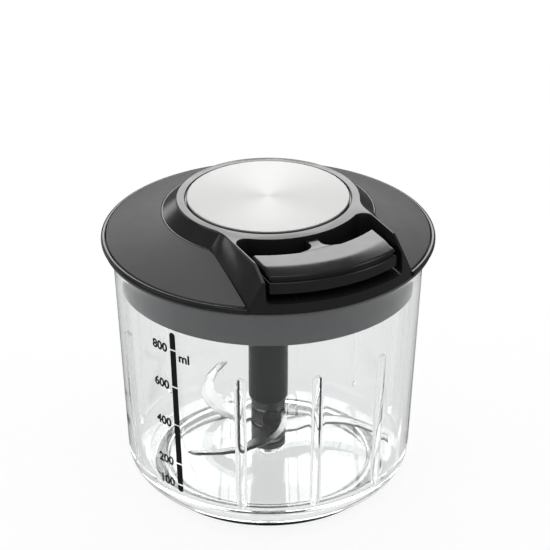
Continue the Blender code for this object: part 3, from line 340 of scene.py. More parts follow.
def caught_inside(tree, path):
    """A value of 1 for rays that have been mirrored again and again inside a clear wall."""
    return combined(tree, "GREATER_THAN", path.outputs["Glossy Depth"], MIRRORINGS_IN_WALL)


def seen_through(tree):
    """A value of 1 for camera and transmission rays, and 0 for the rays that carry light."""
    path = tree.nodes.new("ShaderNodeLightPath")
    either = combined(tree, "MAXIMUM", path.outputs["Is Camera Ray"], path.outputs["Is Transmission Ray"])
    return combined(tree, "MAXIMUM", either, caught_inside(tree, path))


def seen_mirrored(tree):
    """A value of 1 for mirrored rays that didn't also pass through a clear piece."""
    path = tree.nodes.new("ShaderNodeLightPath")
    only = combined(tree, "SUBTRACT", path.outputs["Is Glossy Ray"], path.outputs["Is Transmission Ray"])
    return combined(tree, "SUBTRACT", only, caught_inside(tree, path))


def mixed_shader(tree, factor, first, second):
    """The first shader where the factor is 0, and the second where it is 1."""
    return add_node(tree, "ShaderNodeMixShader", {"Fac": factor, 1: first, 2: second}).outputs[0]


def add_surround(tree, output, lit, emitter, share, mirrored):
    """Show a share of white to the eye and a dimmer tone in gloss, and leave the rest lit."""
    bright = add_node(tree, emitter, {"Color": WHITE, "Strength": 1.0})
    dim = add_node(tree, emitter, {"Color": WHITE, "Strength": mirrored})
    seen = combined(tree, "MULTIPLY", seen_through(tree), share)
    white = mixed_shader(tree, seen, lit.outputs[0], bright.outputs[0])
    surface = mixed_shader(tree, seen_mirrored(tree), white, dim.outputs[0])
    tree.links.new(surface, tree.nodes[output].inputs["Surface"])


def build_floor():
    bm = bmesh.new()
    bmesh.ops.create_grid(bm, x_segments=1, y_segments=1, size=FLOOR_SIZE)
    floor = new_object("floor", bm)
    mat, paper = base_material("floor", (FLOOR_GREY, FLOOR_GREY, FLOOR_GREY))
    paper.inputs["Roughness"].default_value = FLOOR_ROUGHNESS
    paper.inputs["Specular IOR Level"].default_value = 0.0
    add_surround(
        mat.node_tree, "Material Output", paper, "ShaderNodeEmission", FLOOR_GLOW_SHARE, FLOOR_MIRRORED)
    floor.data.materials.append(mat)


def build_world():
    world = bpy.data.worlds.new("studio")
    bpy.context.scene.world = world
    world.use_nodes = True
    ambient = world.node_tree.nodes["Background"]
    ambient.inputs["Color"].default_value = WHITE
    ambient.inputs["Strength"].default_value = WORLD_AMBIENT
    add_surround(world.node_tree, "World Output", ambient, "ShaderNodeBackground", 1.0, WORLD_MIRRORED)


def base_material(name, color, metallic=0.0):
    mat = bpy.data.materials.new(name)
    mat.use_nodes = True
    shader = mat.node_tree.nodes["Principled BSDF"]
    shader.inputs["Base Color"].default_value = (*color, 1.0)
    shader.inputs["Metallic"].default_value = metallic
    return mat, shader


def add_noise(mat, scale, detail=2.0):
    """Noise in the piece's own space, so that the pattern moves with it."""
    place = mat.node_tree.nodes.new("ShaderNodeTexCoord")
    noise = add_node(mat.node_tree, "ShaderNodeTexNoise", {
        "Vector": place.outputs["Object"], "Scale": scale, "Detail": detail})
    return noise.outputs["Fac"]


def ranged(mat, value, low, high):
    """Map a pattern's 0.3 to 0.7 onto a range."""
    node = add_node(mat.node_tree, "ShaderNodeMapRange", {
        "Value": value, "From Min": 0.3, "From Max": 0.7, "To Min": low, "To Max": high})
    return node.outputs["Result"]


def vary_color(mat, shader, value, dark, light):
    """Colour between two tones, as a pattern says."""
    links = mat.node_tree.links
    node = mat.node_tree.nodes.new("ShaderNodeMix")
    node.data_type = "RGBA"
    node.inputs["A"].default_value = (*dark, 1.0)
    node.inputs["B"].default_value = (*light, 1.0)
    links.new(value, node.inputs["Factor"])
    links.new(node.outputs["Result"], shader.inputs["Base Color"])


def vary_roughness(mat, shader, value, low, high):
    """Roughness between two values, as a pattern says."""
    mat.node_tree.links.new(ranged(mat, value, low, high), shader.inputs["Roughness"])


def add_bump(mat, shader, value, distance, strength=1.0):
    """Fine relief from a pattern."""
    bump = add_node(mat.node_tree, "ShaderNodeBump", {
        "Strength": strength, "Distance": distance, "Height": value})
    mat.node_tree.links.new(bump.outputs["Normal"], shader.inputs["Normal"])


def moulded_plastic(name, color, rough_low, rough_high, grain_size, grain_depth, gloss):
    """Injection-moulded plastic: eroded grain, faint flow marks in the colour and uneven gloss."""
    mat, shader = base_material(name, color)
    shader.inputs["Specular IOR Level"].default_value = gloss
    dark = tuple(c * 0.88 for c in color)
    light = tuple(c * 1.14 for c in color)
    vary_color(mat, shader, add_noise(mat, 35.0, 4.0), dark, light)
    vary_roughness(mat, shader, add_noise(mat, 110.0, 5.0), rough_low, rough_high)
    add_bump(mat, shader, add_noise(mat, 1.0 / grain_size), grain_depth)
    return mat


def distance_from_axis(mat):
    """Distance from the Z axis, in the piece's own space."""
    place = mat.node_tree.nodes.new("ShaderNodeTexCoord")
    flat = add_node(mat.node_tree, "ShaderNodeVectorMath", {0: place.outputs["Object"], 1: (1.0, 1.0, 0.0)})
    flat.operation = "MULTIPLY"
    length = add_node(mat.node_tree, "ShaderNodeVectorMath", {0: flat.outputs["Vector"]})
    length.operation = "LENGTH"
    return length.outputs["Value"]


def brushed_disc(name):
    """Steel turned with a fine circular brush: streaks run round the centre."""
    mat, shader = base_material(name, (0.57, 0.57, 0.56), 1.0)
    tree = mat.node_tree
    noise = tree.nodes.new("ShaderNodeTexNoise")
    noise.noise_dimensions = "1D"
    noise.inputs["Scale"].default_value = 9000.0
    noise.inputs["Detail"].default_value = 3.0
    tree.links.new(distance_from_axis(mat), noise.inputs["W"])
    streaks = noise.outputs["Fac"]
    patched = combined(tree, "MULTIPLY", streaks, add_noise(mat, 60.0, 3.0))
    vary_roughness(mat, shader, streaks, 0.52, 0.62)
    vary_color(mat, shader, ranged(mat, patched, 0.0, 1.0), (0.53, 0.53, 0.52), (0.61, 0.61, 0.60))
    add_bump(mat, shader, streaks, 0.004 * MM)
    shader.inputs["Anisotropic"].default_value = 0.3
    tangent = tree.nodes.new("ShaderNodeTangent")
    tangent.direction_type = "RADIAL"
    tangent.axis = "Z"
    tree.links.new(tangent.outputs["Tangent"], shader.inputs["Tangent"])
    return mat


def polished_steel(name):
    """Polished steel with wiped patches."""
    mat, shader = base_material(name, (0.28, 0.28, 0.28), 1.0)
    wipes = add_noise(mat, 90.0, 6.0)
    vary_roughness(mat, shader, wipes, 0.22, 0.34)
    vary_color(mat, shader, wipes, (0.24, 0.24, 0.24), (0.32, 0.32, 0.32))
    add_bump(mat, shader, add_noise(mat, 2500.0, 1.0), 0.003 * MM)
    return mat


def clear_plastic(name):
    """Clear moulded plastic; lamps shine through it, so that it throws no dark shadow."""
    mat, shader = base_material(name, (0.91, 0.92, 0.92))
    tree = mat.node_tree
    shader.inputs["Transmission Weight"].default_value = 1.0
    shader.inputs["IOR"].default_value = 1.46
    vary_roughness(mat, shader, add_noise(mat, 45.0, 4.0), 0.0, 0.035)
    add_bump(mat, shader, add_noise(mat, 28.0), 0.05 * MM, 0.4)
    path = tree.nodes.new("ShaderNodeLightPath")
    through = add_node(tree, "ShaderNodeBsdfTransparent", {"Color": (0.93, 0.94, 0.94, 1.0)})
    straight = combined(tree, "MAXIMUM", path.outputs["Is Shadow Ray"], caught_inside(tree, path))
    surface = mixed_shader(tree, straight, shader.outputs[0], through.outputs[0])
    tree.links.new(surface, tree.nodes["Material Output"].inputs["Surface"])
    return mat


def rubber(name, color):
    """Matt rubber with a little dust."""
    mat, shader = base_material(name, color)
    shader.inputs["Specular IOR Level"].default_value = 0.3
    dust = add_noise(mat, 70.0, 5.0)
    light = tuple(c * 1.5 + 0.002 for c in color)
    vary_color(mat, shader, dust, color, light)
    vary_roughness(mat, shader, dust, 0.6, 0.8)
    add_bump(mat, shader, add_noise(mat, 3000.0), 0.02 * MM)
    return mat


def braided_cord(name):
    """Pale cord with a crossing braid."""
    mat, shader = base_material(name, (0.70, 0.70, 0.68))
    place = mat.node_tree.nodes.new("ShaderNodeTexCoord")
    braid = add_node(mat.node_tree, "ShaderNodeTexWave", {
        "Vector": place.outputs["Object"], "Scale": 900.0, "Distortion": 1.5})
    braid.wave_type = "BANDS"
    braid.bands_direction = "DIAGONAL"
    strands = braid.outputs["Fac"]
    vary_color(mat, shader, strands, (0.50, 0.50, 0.48), (0.78, 0.78, 0.76))
    vary_roughness(mat, shader, strands, 0.7, 0.9)
    add_bump(mat, shader, strands, 0.1 * MM)
    return mat


def print_ink(name):
    """Printed ink of uneven cover."""
    mat, shader = base_material(name, (0.008, 0.008, 0.009))
    shader.inputs["Specular IOR Level"].default_value = 0.2
    cover = add_noise(mat, 900.0, 3.0)
    vary_color(mat, shader, cover, (0.006, 0.006, 0.007), (0.014, 0.014, 0.015))
    vary_roughness(mat, shader, cover, 0.35, 0.5)
    return mat


# Moulded plastics: colour, lowest and highest roughness, size and depth of the grain, and gloss
PLASTICS = {
    "black_plastic": ((0.013, 0.013, 0.014), 0.17, 0.25, 0.30 * MM, 0.005 * MM, 0.5),
    # The column's plastic is the black plastic made darker and less glossy: painted shade for its place
    # inside the bowl, under the lid
    "shaded_column_plastic": ((0.006, 0.006, 0.007), 0.24, 0.34, 0.6 * MM, 0.001 * MM, 0.1),
    "matt_plastic": ((0.082, 0.082, 0.086), 0.42, 0.54, 0.22 * MM, 0.016 * MM, 0.5),
    "grey_plastic": ((0.095, 0.095, 0.099), 0.32, 0.42, 0.30 * MM, 0.002 * MM, 0.5),
    "white_plastic": ((0.72, 0.72, 0.69), 0.35, 0.5, 0.4 * MM, 0.006 * MM, 0.5),
}

MATERIALS = {name: moulded_plastic(name, *look) for name, look in PLASTICS.items()}
MATERIALS["clear_plastic"] = clear_plastic("clear_plastic")
MATERIALS["black_rubber"] = rubber("black_rubber", (0.005, 0.005, 0.005))
MATERIALS["seal_rubber"] = rubber("seal_rubber", (0.55, 0.55, 0.53))
MATERIALS["steel"] = polished_steel("steel")
MATERIALS["brushed_steel"] = brushed_disc("brushed_steel")
MATERIALS["cord"] = braided_cord("cord")
MATERIALS["print"] = print_ink("print")


def shade(mesh):
    """Smooth shading, except over sharp edges."""
    mesh.shade_smooth()
    mesh.set_sharp_from_angle(angle=SMOOTH_ANGLE)


def new_object(name, bm):
    """Shaded mesh object from a bmesh."""
    bmesh.ops.recalc_face_normals(bm, faces=bm.faces)
    mesh = bpy.data.meshes.new(name)
    bm.to_mesh(mesh)
    bm.free()
    shade(mesh)
    return linked(name, mesh)


def combine(target, tool, operation="DIFFERENCE"):
    """Boolean with a bmesh or another object, which is used up."""
    if isinstance(tool, bmesh.types.BMesh):
        tool = new_object("tool", tool)
    modifier = target.modifiers.new("shape", "BOOLEAN")
    modifier.operation = operation
    modifier.solver = "EXACT"
    modifier.object = tool
    bake(target)
    bpy.data.objects.remove(tool, do_unlink=True)


def bake(obj):
    """Apply an object's modifiers."""
    bpy.context.view_layer.update()
    evaluated = obj.evaluated_get(bpy.context.evaluated_depsgraph_get())
    mesh = bpy.data.meshes.new_from_object(evaluated)
    obj.modifiers.clear()
    obj.data = mesh
    shade(mesh)


def weld(obj):
    """Joins the points that the cuts leave on top of each other, and drops faces without area."""
    bm = bmesh.new()
    bm.from_mesh(obj.data)
    bmesh.ops.remove_doubles(bm, verts=bm.verts, dist=WELD_DISTANCE)
    bmesh.ops.dissolve_degenerate(bm, dist=WELD_DISTANCE, edges=bm.edges)
    bm.to_mesh(obj.data)
    bm.free()


def dress(obj, slot, body, *nodes, material=None):
    """Give a piece the slot's or another material and its body, in place of CAD nodes."""
    obj.data.materials.clear()
    obj.data.materials.append(MATERIALS[material or slot])
    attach(obj, body)
    if nodes:
        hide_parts(*nodes)


def lathe(profile, steps=STEPS, start=0.0, sweep=2.0 * math.pi):
    """Turn a closed outline of (radius, height) points about the Z axis."""
    bm = bmesh.new()
    full = math.isclose(sweep, 2.0 * math.pi)
    turn = Matrix.Rotation(start, 4, "Z")
    verts = [bm.verts.new(turn @ Vector((r, 0.0, z))) for r, z in profile]
    edges = [bm.edges.new((a, b)) for a, b in zip(verts, verts[1:])]
    if profile[0][0] > 0.0 or profile[-1][0] > 0.0:
        edges.append(bm.edges.new((verts[-1], verts[0])))
    if not full:
        bm.faces.new(verts)
    bmesh.ops.spin(
        bm, geom=verts + edges + list(bm.faces), cent=(0, 0, 0), axis=(0, 0, 1),
        angle=sweep, steps=steps, use_merge=full)
    bmesh.ops.remove_doubles(bm, verts=bm.verts, dist=MERGE_DISTANCE)
    return bm


def bend(first, corner, last, t):
    """Point on a curve that rounds a corner between two points."""
    return first * (1 - t) ** 2 + corner * 2 * t * (1 - t) + last * t ** 2


def rounded(profile, radii, steps=4):
    """Round the corners of a (radius, height) outline; radii maps a corner's index to its radius."""
    points = []
    count = len(profile)
    for i, corner in enumerate(profile):
        radius = radii.get(i, 0.0)
        if radius == 0.0:
            points.append(corner)
            continue
        here = Vector(corner)
        before = Vector(profile[i - 1]) - here
        after = Vector(profile[(i + 1) % count]) - here
        half = before.angle(after) / 2
        reach = min(radius / math.tan(half), before.length * EDGE_SHARE, after.length * EDGE_SHARE)
        first = here + before.normalized() * reach
        last = here + after.normalized() * reach
        points += [tuple(bend(first, here, last, k / steps)) for k in range(steps + 1)]
    return points


def loft(rings):
    """Join rings of equal point counts with quads, and cap the first and the last."""
    bm = bmesh.new()
    rows = [[bm.verts.new(p) for p in ring] for ring in rings]
    for low, high in zip(rows, rows[1:]):
        for i in range(len(low)):
            j = (i + 1) % len(low)
            bm.faces.new((low[i], low[j], high[j], high[i]))
    bm.faces.new(rows[0][::-1])
    bm.faces.new(rows[-1])
    return bm


def rod(radius, low, high, steps, x=0.0, y=0.0):
    bm = bmesh.new()
    bmesh.ops.create_cone(
        bm, cap_ends=True, segments=steps, radius1=radius, radius2=radius, depth=high - low,
        matrix=Matrix.Translation((x, y, (low + high) / 2)))
    return bm


def arc(cx, cy, radius, first, last, count):
    points = []
    for i in range(count + 1):
        angle = first + (last - first) * i / count
        points.append((cx + radius * math.cos(angle), cy + radius * math.sin(angle)))
    return points


def polar(radius, angle):
    """Point at an angle from the pull direction, positive towards +X."""
    return (radius * math.sin(angle), -radius * math.cos(angle))


def bowl_outer_r(z):
    return BOWL_RIM_R - (BOWL_RIM_Z - z) * math.tan(BOWL_TAPER)


def bowl_inner_r(z):
    return bowl_outer_r(z) - BOWL_WALL


def brim_z(r):
    """Height of the sloping brim's surface at a radius."""
    return HUB_BASE_Z - (r - HUB_BASE_R) * (HUB_BASE_Z - BRIM_EDGE_Z) / (INLAY_R - HUB_BASE_R)


def corner_arc(wall_r, bottom_z, radius, steps):
    """Arc from a tapered wall into a flat bottom."""
    center_z = bottom_z + radius
    center_r = wall_r(center_z) - radius / math.cos(BOWL_TAPER)
    return arc(center_r, center_z, radius, -BOWL_TAPER, -math.pi / 2, steps)


def rib_mesh(angle):
    """Half-round rib on the inner wall, with a round top and a foot that runs out to a point."""
    across = 12
    spans = []
    for i in range(7):
        share = i / 6
        size = RIB_FOOT_SHARE + (1 - RIB_FOOT_SHARE) * math.sin(math.pi / 2 * share)
        spans.append((size, RIB_BOTTOM_Z + RIB_FOOT_LENGTH * share))
    for i in range(1, 13):
        tip = math.pi / 2 * i / 12
        spans.append((max(math.cos(tip), RIB_TOP_SHARE), RIB_TOP_Z - RIB_WIDTH / 2 * (1 - math.sin(tip))))
    rings = []
    for share, z in spans:
        root = bowl_inner_r(z)
        wall = root + BOWL_WALL / 2
        ring = []
        for k in range(across + 1):
            turn = math.pi * k / across
            ring.append((root - math.sin(turn) * RIB_HEIGHT * share, math.cos(turn) * RIB_WIDTH / 2 * share))
        ring += [(wall, -RIB_WIDTH / 2 * share), (wall, RIB_WIDTH / 2 * share)]
        placed = []
        for depth, side in ring:
            x, y = polar(depth, angle)
            placed.append((x + side * math.cos(angle), y + side * math.sin(angle), z))
        rings.append(placed)
    return loft(rings)


def build_bowl():
    """Turned wall, floor, foot and pin boss, with the ribs joined on inside."""
    foot_inner_r = RING_OUTER_R - FOOT_WALL
    ceiling_z = FLOOR_Z - FLOOR_THICKNESS
    profile = [(0.0, ceiling_z)]
    profile += rounded(
        [(0.0, ceiling_z), (foot_inner_r, ceiling_z), (foot_inner_r, BOWL_UNDERSIDE_Z),
         (RING_OUTER_R, BOWL_UNDERSIDE_Z)], {1: FOOT_FILLET, 2: BOWL_EDGE})[1:-1]
    profile += corner_arc(bowl_outer_r, BOWL_UNDERSIDE_Z, BOWL_CORNER_R, 16)[::-1]
    below_rim = BOWL_RIM_Z - 2 * BOWL_WALL
    rim = [
        (bowl_outer_r(below_rim), below_rim), (BOWL_RIM_R, BOWL_RIM_Z),
        (BOWL_RIM_R - BOWL_WALL, BOWL_RIM_Z), (bowl_inner_r(below_rim), below_rim)]
    profile += rounded(rim, {1: BOWL_EDGE, 2: BOWL_EDGE})
    profile += corner_arc(bowl_inner_r, FLOOR_Z, FLOOR_CORNER_R, 12)
    boss = [
        (PIN_BOSS_R * 2, FLOOR_Z), (PIN_BOSS_R, FLOOR_Z), (PIN_BOSS_R, PIN_BOSS_Z), (PIN_R + GAP, PIN_BOSS_Z)]
    profile += rounded(boss, {1: PIN_BOSS_FILLET, 2: PIN_BOSS_EDGE})
    profile += [(PIN_R + GAP, PIN_ROOT_Z - GAP), (0.0, PIN_ROOT_Z - GAP)]
    bowl = new_object("bowl_shell", lathe(profile))
    for slot in range(RIB_SLOTS):
        if slot != RIB_LEFT_OUT:
            combine(bowl, rib_mesh(RIB_PHASE + slot * RIB_PITCH), "UNION")
    dress(bowl, "clear_plastic", "bowl", "bowl")


def build_ring():
    inner = RING_OUTER_R - RING_WIDTH
    top = BOWL_UNDERSIDE_Z - GAP / 3
    profile = rounded(
        [(inner, 0.0), (RING_OUTER_R, 0.0), (RING_OUTER_R, top), (inner, top)], RING_EDGES)
    ring = new_object("foot_ring", lathe(profile))
    dress(ring, "black_rubber", "bowl", "base_ring")


def on_wall(across, z, lift):
    """Point on the bowl's outer wall, at a distance across from the middle of the scale."""
    radius = bowl_outer_r(z) + lift
    x, y = polar(radius, SCALE_ANGLE + across / bowl_outer_r(z))
    return (x, y, z)


def add_print(name, bm):
    """Wrap a flat print of (across, height) points round the bowl's wall as a thin film."""
    bmesh.ops.triangulate(bm, faces=bm.faces)
    for _ in range(2):
        long_edges = [e for e in bm.edges if e.calc_length() > PRINT_CELL]
        bmesh.ops.subdivide_edges(bm, edges=long_edges, cuts=1)
        bmesh.ops.triangulate(bm, faces=bm.faces)
    front = bmesh.ops.extrude_face_region(bm, geom=list(bm.faces))["geom"]
    raised = {v for v in front if isinstance(v, bmesh.types.BMVert)}
    for v in bm.verts:
        lift = PRINT_THICKNESS if v in raised else PRINT_BACK
        v.co = on_wall(v.co.x, v.co.y, lift)
    film = new_object(name, bm)
    dress(film, "black_plastic", "bowl", material="print")


def build_scale():
    """Black bar with light gaps at the marks, numbers on its left and the unit on its right."""
    bar = bmesh.new()
    stops = [SCALE_HIGH_Z] + [z for _, z in SCALE_TICKS] + [SCALE_LOW_Z]
    half = SCALE_BAR_WIDTH / 2
    for index, (high, low) in enumerate(zip(stops, stops[1:])):
        top = high - (SCALE_TICK_GAP / 2 if index > 0 else 0.0)
        bottom = low + (SCALE_TICK_GAP / 2 if index < len(stops) - 2 else 0.0)
        outline = [(half, bottom), (half, top), (-half, top), (-half, bottom)]
        if index == 0:
            outline = [(half, bottom)] + arc(0.0, top - half, half, 0.0, math.pi, 12) + [(-half, bottom)]
        if index == len(stops) - 2:
            outline = [(half, top), (-half, top)] + arc(0.0, bottom + half, half, math.pi, 2 * math.pi, 12)
        bar.faces.new([bar.verts.new((x, z, 0.0)) for x, z in outline])
    add_print("scale_bar", bar)
    labels = [(text, z, "RIGHT", -half - SCALE_TEXT_GAP) for text, z in SCALE_TICKS]
    unit_z = SCALE_TICKS[0][1] - SCALE_TEXT_HEIGHT * SCALE_UNIT_DROP
    labels.append(("ml", unit_z, "LEFT", half + SCALE_UNIT_GAP))
    for text, z, align, across in labels:
        curve = bpy.data.curves.new("label", "FONT")
        curve.body = text
        curve.align_x = align
        curve.size = SCALE_TEXT_HEIGHT / CAPITAL_SHARE
        curve.resolution_u = 4
        curve.offset = SCALE_TEXT_BOLD
        obj = linked("label", curve)
        bpy.context.view_layer.update()
        mesh = bpy.data.meshes.new_from_object(obj)
        bpy.data.objects.remove(obj, do_unlink=True)
        bm = bmesh.new()
        bm.from_mesh(mesh)
        bmesh.ops.remove_doubles(bm, verts=bm.verts, dist=MERGE_DISTANCE)
        for v in bm.verts:
            v.co.x += across
            v.co.y += z - SCALE_TEXT_HEIGHT / 2
        add_print("scale_" + text, bm)


def build_column():
    """Round column over the blade carrier, with the hexagonal head that the reel's socket drives."""
    bore_r = COLUMN_R - COLUMN_STEP
    profile = rounded(
        [(0.0, COLUMN_FOOT_Z + OVER), (bore_r, COLUMN_FOOT_Z + OVER), (bore_r, COLUMN_FOOT_Z),
         (COLUMN_R, COLUMN_FOOT_Z), (COLUMN_R, COLUMN_TOP_Z), (0.0, COLUMN_TOP_Z)],
        {2: COLUMN_EDGE / 2, 3: COLUMN_EDGE, 4: COLUMN_EDGE})
    column = new_object("column", lathe(profile, STEPS_SMALL * 2))
    outline = [polar(HEAD_FLAT / math.cos(math.pi / 6), math.pi / 3 * k) for k in range(6)]
    head_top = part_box("blade_column")[1].z
    head = loft([[(x, y, z) for x, y in outline] for z in (COLUMN_TOP_Z - HEAD_ROOT, head_top)])
    combine(column, head, "UNION")
    # The column takes a darker, less glossy copy of the black plastic: painted shade
    dress(column, "black_plastic", "blades", "blade_column", material="shaded_column_plastic")


def build_lid_base():
    """Inner lid: plate round the socket, skirt in the bowl's mouth and flange over its rim."""
    skirt_low = bowl_inner_r(SKIRT_BOTTOM_Z) - SKIRT_CLEARANCE
    skirt_high = bowl_inner_r(BOWL_RIM_Z) - SKIRT_CLEARANCE
    box_low, box_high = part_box("drive_socket")
    bore_r = (box_high.x - box_low.x) / 2
    plate_top = PLATE_Z + PLATE_THICKNESS
    outline = [
        (bore_r + GAP, PLATE_Z), (skirt_low - SKIRT_WALL, PLATE_Z), (skirt_low - SKIRT_WALL, SKIRT_BOTTOM_Z),
        (skirt_low, SKIRT_BOTTOM_Z), (skirt_high, FLANGE_BOTTOM_Z), (FLANGE_R, FLANGE_BOTTOM_Z),
        (FLANGE_R, FLANGE_TOP_Z), (skirt_high - SKIRT_WALL, FLANGE_TOP_Z),
        (skirt_low - SKIRT_WALL, plate_top), (bore_r + GAP, plate_top)]
    profile = rounded(
        outline, {1: PLATE_FILLET, 2: SKIRT_EDGE, 3: SKIRT_EDGE, 4: SKIRT_FILLET, 5: FLANGE_EDGE,
                  6: FLANGE_EDGE, 8: PLATE_FILLET})
    base = new_object("inner_lid", lathe(profile))
    dress(base, "grey_plastic", "lid", "lid_base")


def arm_stations(start):
    """Distances along the pull where the arms' walls have their lines, out past the lip."""
    shoulder = math.sqrt(ARM_SHOULDER_R ** 2 - ARM_TOP_X ** 2)
    sill = math.sqrt(SILL_TOP_R ** 2 - ARM_TOP_X ** 2)
    stations = [start + (shoulder - start) * i / 5 for i in range(1, 6)]
    stations += [shoulder + (sill - shoulder) * i / 10 for i in range(1, 11)]
    return stations + [sill + (LIP_R + OVER - sill) * i / 4 for i in range(1, 5)]


def arm_top_z(v):
    """Height of the arms' outer top edge: level with the crown, then down a slope to the sill."""
    share = (math.hypot(ARM_TOP_X, v) - ARM_SHOULDER_R) / (SILL_TOP_R - ARM_SHOULDER_R)
    return CROWN_TOP_Z - (CROWN_TOP_Z - SILL_TOP_Z) * min(1.0, max(0.0, share))


def crown_outline(hub_r, arm_x):
    """Closed plan ring: round hub at the back, concave fillets, straight arms and a flat front."""
    hub_points, fillet_points = 60, 18
    center_x = arm_x + ARM_FILLET_R
    center_v = math.sqrt((hub_r + ARM_FILLET_R) ** 2 - center_x ** 2)
    touch = math.atan2(center_x, center_v)
    right = [polar(hub_r, math.pi - (math.pi - touch) * i / hub_points) for i in range(hub_points + 1)]
    for i in range(1, fillet_points + 1):
        angle = touch + (math.pi / 2 - touch) * i / fillet_points
        right.append((center_x - ARM_FILLET_R * math.sin(angle), ARM_FILLET_R * math.cos(angle) - center_v))
    right += [(arm_x, -v) for v in arm_stations(center_v)]
    left = [(-x, y) for x, y in right[::-1]]
    return right + left[:-1]


def crown_shape(grow=0.0):
    """Crown's drafted wall from below the brim to its rounded top edge."""
    top_z = CROWN_TOP_Z - CROWN_EDGE
    top = crown_outline(HUB_TOP_R + grow, ARM_TOP_X + grow)
    base = crown_outline(HUB_BASE_R + grow, ARM_BASE_X + grow)
    edges = []
    for i in range(1, 5):
        angle = math.pi / 2 * i / 4
        inset = CROWN_EDGE * (1 - math.cos(angle))
        outline = crown_outline(HUB_TOP_R + grow - inset, ARM_TOP_X + grow - inset)
        edges.append((outline, top_z + CROWN_EDGE * math.sin(angle)))
    rings = [[] for _ in range(4 + len(edges))]
    for k, ((tx, ty), (bx, by)) in enumerate(zip(top, base)):
        bz = brim_z(math.hypot(bx, by))
        meet_z = min(top_z, arm_top_z(-ty))
        lift = (top_z - meet_z) / (meet_z - bz)
        sink = (INLAY_THICKNESS + GAP + COVER_WALL / 2) / (meet_z - bz)
        low_x, low_y = bx + (bx - tx) * sink, by + (by - ty) * sink
        high_x, high_y = (tx - bx) * lift, (ty - by) * lift
        rings[0].append((low_x, low_y, COVER_BOTTOM_Z - 4 * OVER))
        rings[1].append((low_x, low_y, bz + (bz - meet_z) * sink))
        rings[2].append((bx, by, bz))
        rings[3].append((tx + high_x, ty + high_y, top_z))
        for ring, (outline, z) in zip(rings[4:], edges):
            ex, ey = outline[k]
            ring.append((ex + high_x, ey + high_y, z))
    bm = loft(rings)
    bmesh.ops.triangulate(bm, faces=[f for f in bm.faces if len(f.verts) == 4], quad_method="FIXED")
    return bm


def recess_outline(grow=0.0, inset=0.0):
    half = RECESS_HALF_WIDTH + grow - inset
    back = RECESS_BACK_R - grow + inset
    corner = RECESS_CORNER_R
    center_x = half - corner
    center_v = math.sqrt((back + corner) ** 2 - center_x ** 2)
    touch = math.atan2(center_x, center_v)
    back_points, corner_points = 40, 14
    right = [polar(back, touch * i / back_points) for i in range(back_points + 1)]
    for i in range(1, corner_points + 1):
        angle = touch + math.pi - (touch + math.pi / 2) * i / corner_points
        right.append((center_x + corner * math.sin(angle), -(center_v + corner * math.cos(angle))))
    right.append((half, -(LIP_R + 2 * OVER)))
    left = [(-x, y) for x, y in right[1:][::-1]]
    return right + left


def recess_shape():
    """Recess cutter with a rounded edge around its floor and a rounded mouth."""
    rings = []
    steps = 6
    for i in range(steps + 1):
        angle = math.pi / 2 * i / steps
        inset = RECESS_FLOOR_EDGE * (1 - math.sin(angle))
        rise = RECESS_FLOOR_EDGE * (1 - math.cos(angle))
        rings.append([(x, y, RECESS_FLOOR_Z + rise) for x, y in recess_outline(inset=inset)])
    for i in range(5):
        angle = math.pi / 2 * i / 4
        widen = RECESS_MOUTH * (1 - math.cos(angle))
        z = CROWN_TOP_Z - RECESS_MOUTH * (1 - math.sin(angle))
        rings.append([(x, y, z) for x, y in recess_outline(grow=widen)])
    rings.append([(x, y, CROWN_TOP_Z + OVER) for x, y in recess_outline(grow=RECESS_MOUTH)])
    return loft(rings)


def cover_plate():
    """Sloping plate under the inlay, from the axis to the lip."""
    shelf = INLAY_THICKNESS + GAP
    edge_r = INLAY_R + 2 * GAP
    hub_r = HUB_BASE_R - OVER
    low = COVER_BOTTOM_Z - OVER / 4
    return lathe([
        (0.0, low), (edge_r, low), (edge_r, brim_z(edge_r) - shelf), (hub_r, brim_z(hub_r) - shelf),
        (0.0, brim_z(hub_r) - shelf)])


def lip_shape():
    """Rim round the inlay, open between the arms."""
    inner_r = INLAY_R + GAP
    low = COVER_BOTTOM_Z - OVER / 2
    root_r = inner_r - COVER_WALL / 2
    root_z = brim_z(inner_r) - INLAY_THICKNESS - 2 * GAP
    crest_z = brim_z(inner_r + LIP_CREST)
    profile = rounded(
        [(root_r, low), (FLANGE_R, low), (FLANGE_R, COVER_BOTTOM_Z), (LIP_R, brim_z(LIP_R) - LIP_HEIGHT),
         (LIP_R, brim_z(LIP_R)), (inner_r + LIP_CREST, crest_z), (inner_r, crest_z), (inner_r, root_z),
         (root_r, root_z - GAP)],
        {3: LIP_FOOT_EDGE, 4: LIP_EDGE, 6: LIP_CREST_EDGE})
    around = 2 * (math.pi - ARM_END_HALF_ANGLE)
    return lathe(profile, LIP_STEPS, ARM_END_HALF_ANGLE - math.pi / 2, around)


def crown_envelope():
    """Turned outline that gives the arms their sloping ends and the sill its front."""
    low = COVER_BOTTOM_Z - OVER * 3 / 4
    flat_r = ARM_SHOULDER_R - OVER
    slope = rounded(
        [(SILL_R, COVER_BOTTOM_Z), (SILL_TOP_R, SILL_TOP_Z), (ARM_SHOULDER_R, CROWN_TOP_Z),
         (flat_r, CROWN_TOP_Z + SHOULDER_RISE)], {1: SILL_EDGE, 2: SHOULDER_EDGE}, 5)
    above = CROWN_TOP_Z + OVER
    return lathe([(0.0, low), (SILL_R, low)] + slope + [(flat_r, above), (0.0, above)])


def hub_foot():
    """Narrow ring at the foot of the hub, inside the inlay's opening."""
    foot_r = HUB_BASE_R + HUB_FOOT
    foot_z = brim_z(foot_r)
    low = foot_z - COVER_WALL
    return lathe(rounded(
        [(HUB_TOP_R, low), (foot_r, low), (foot_r, foot_z), (HUB_TOP_R, foot_z)], {2: HUB_FOOT_EDGE}))


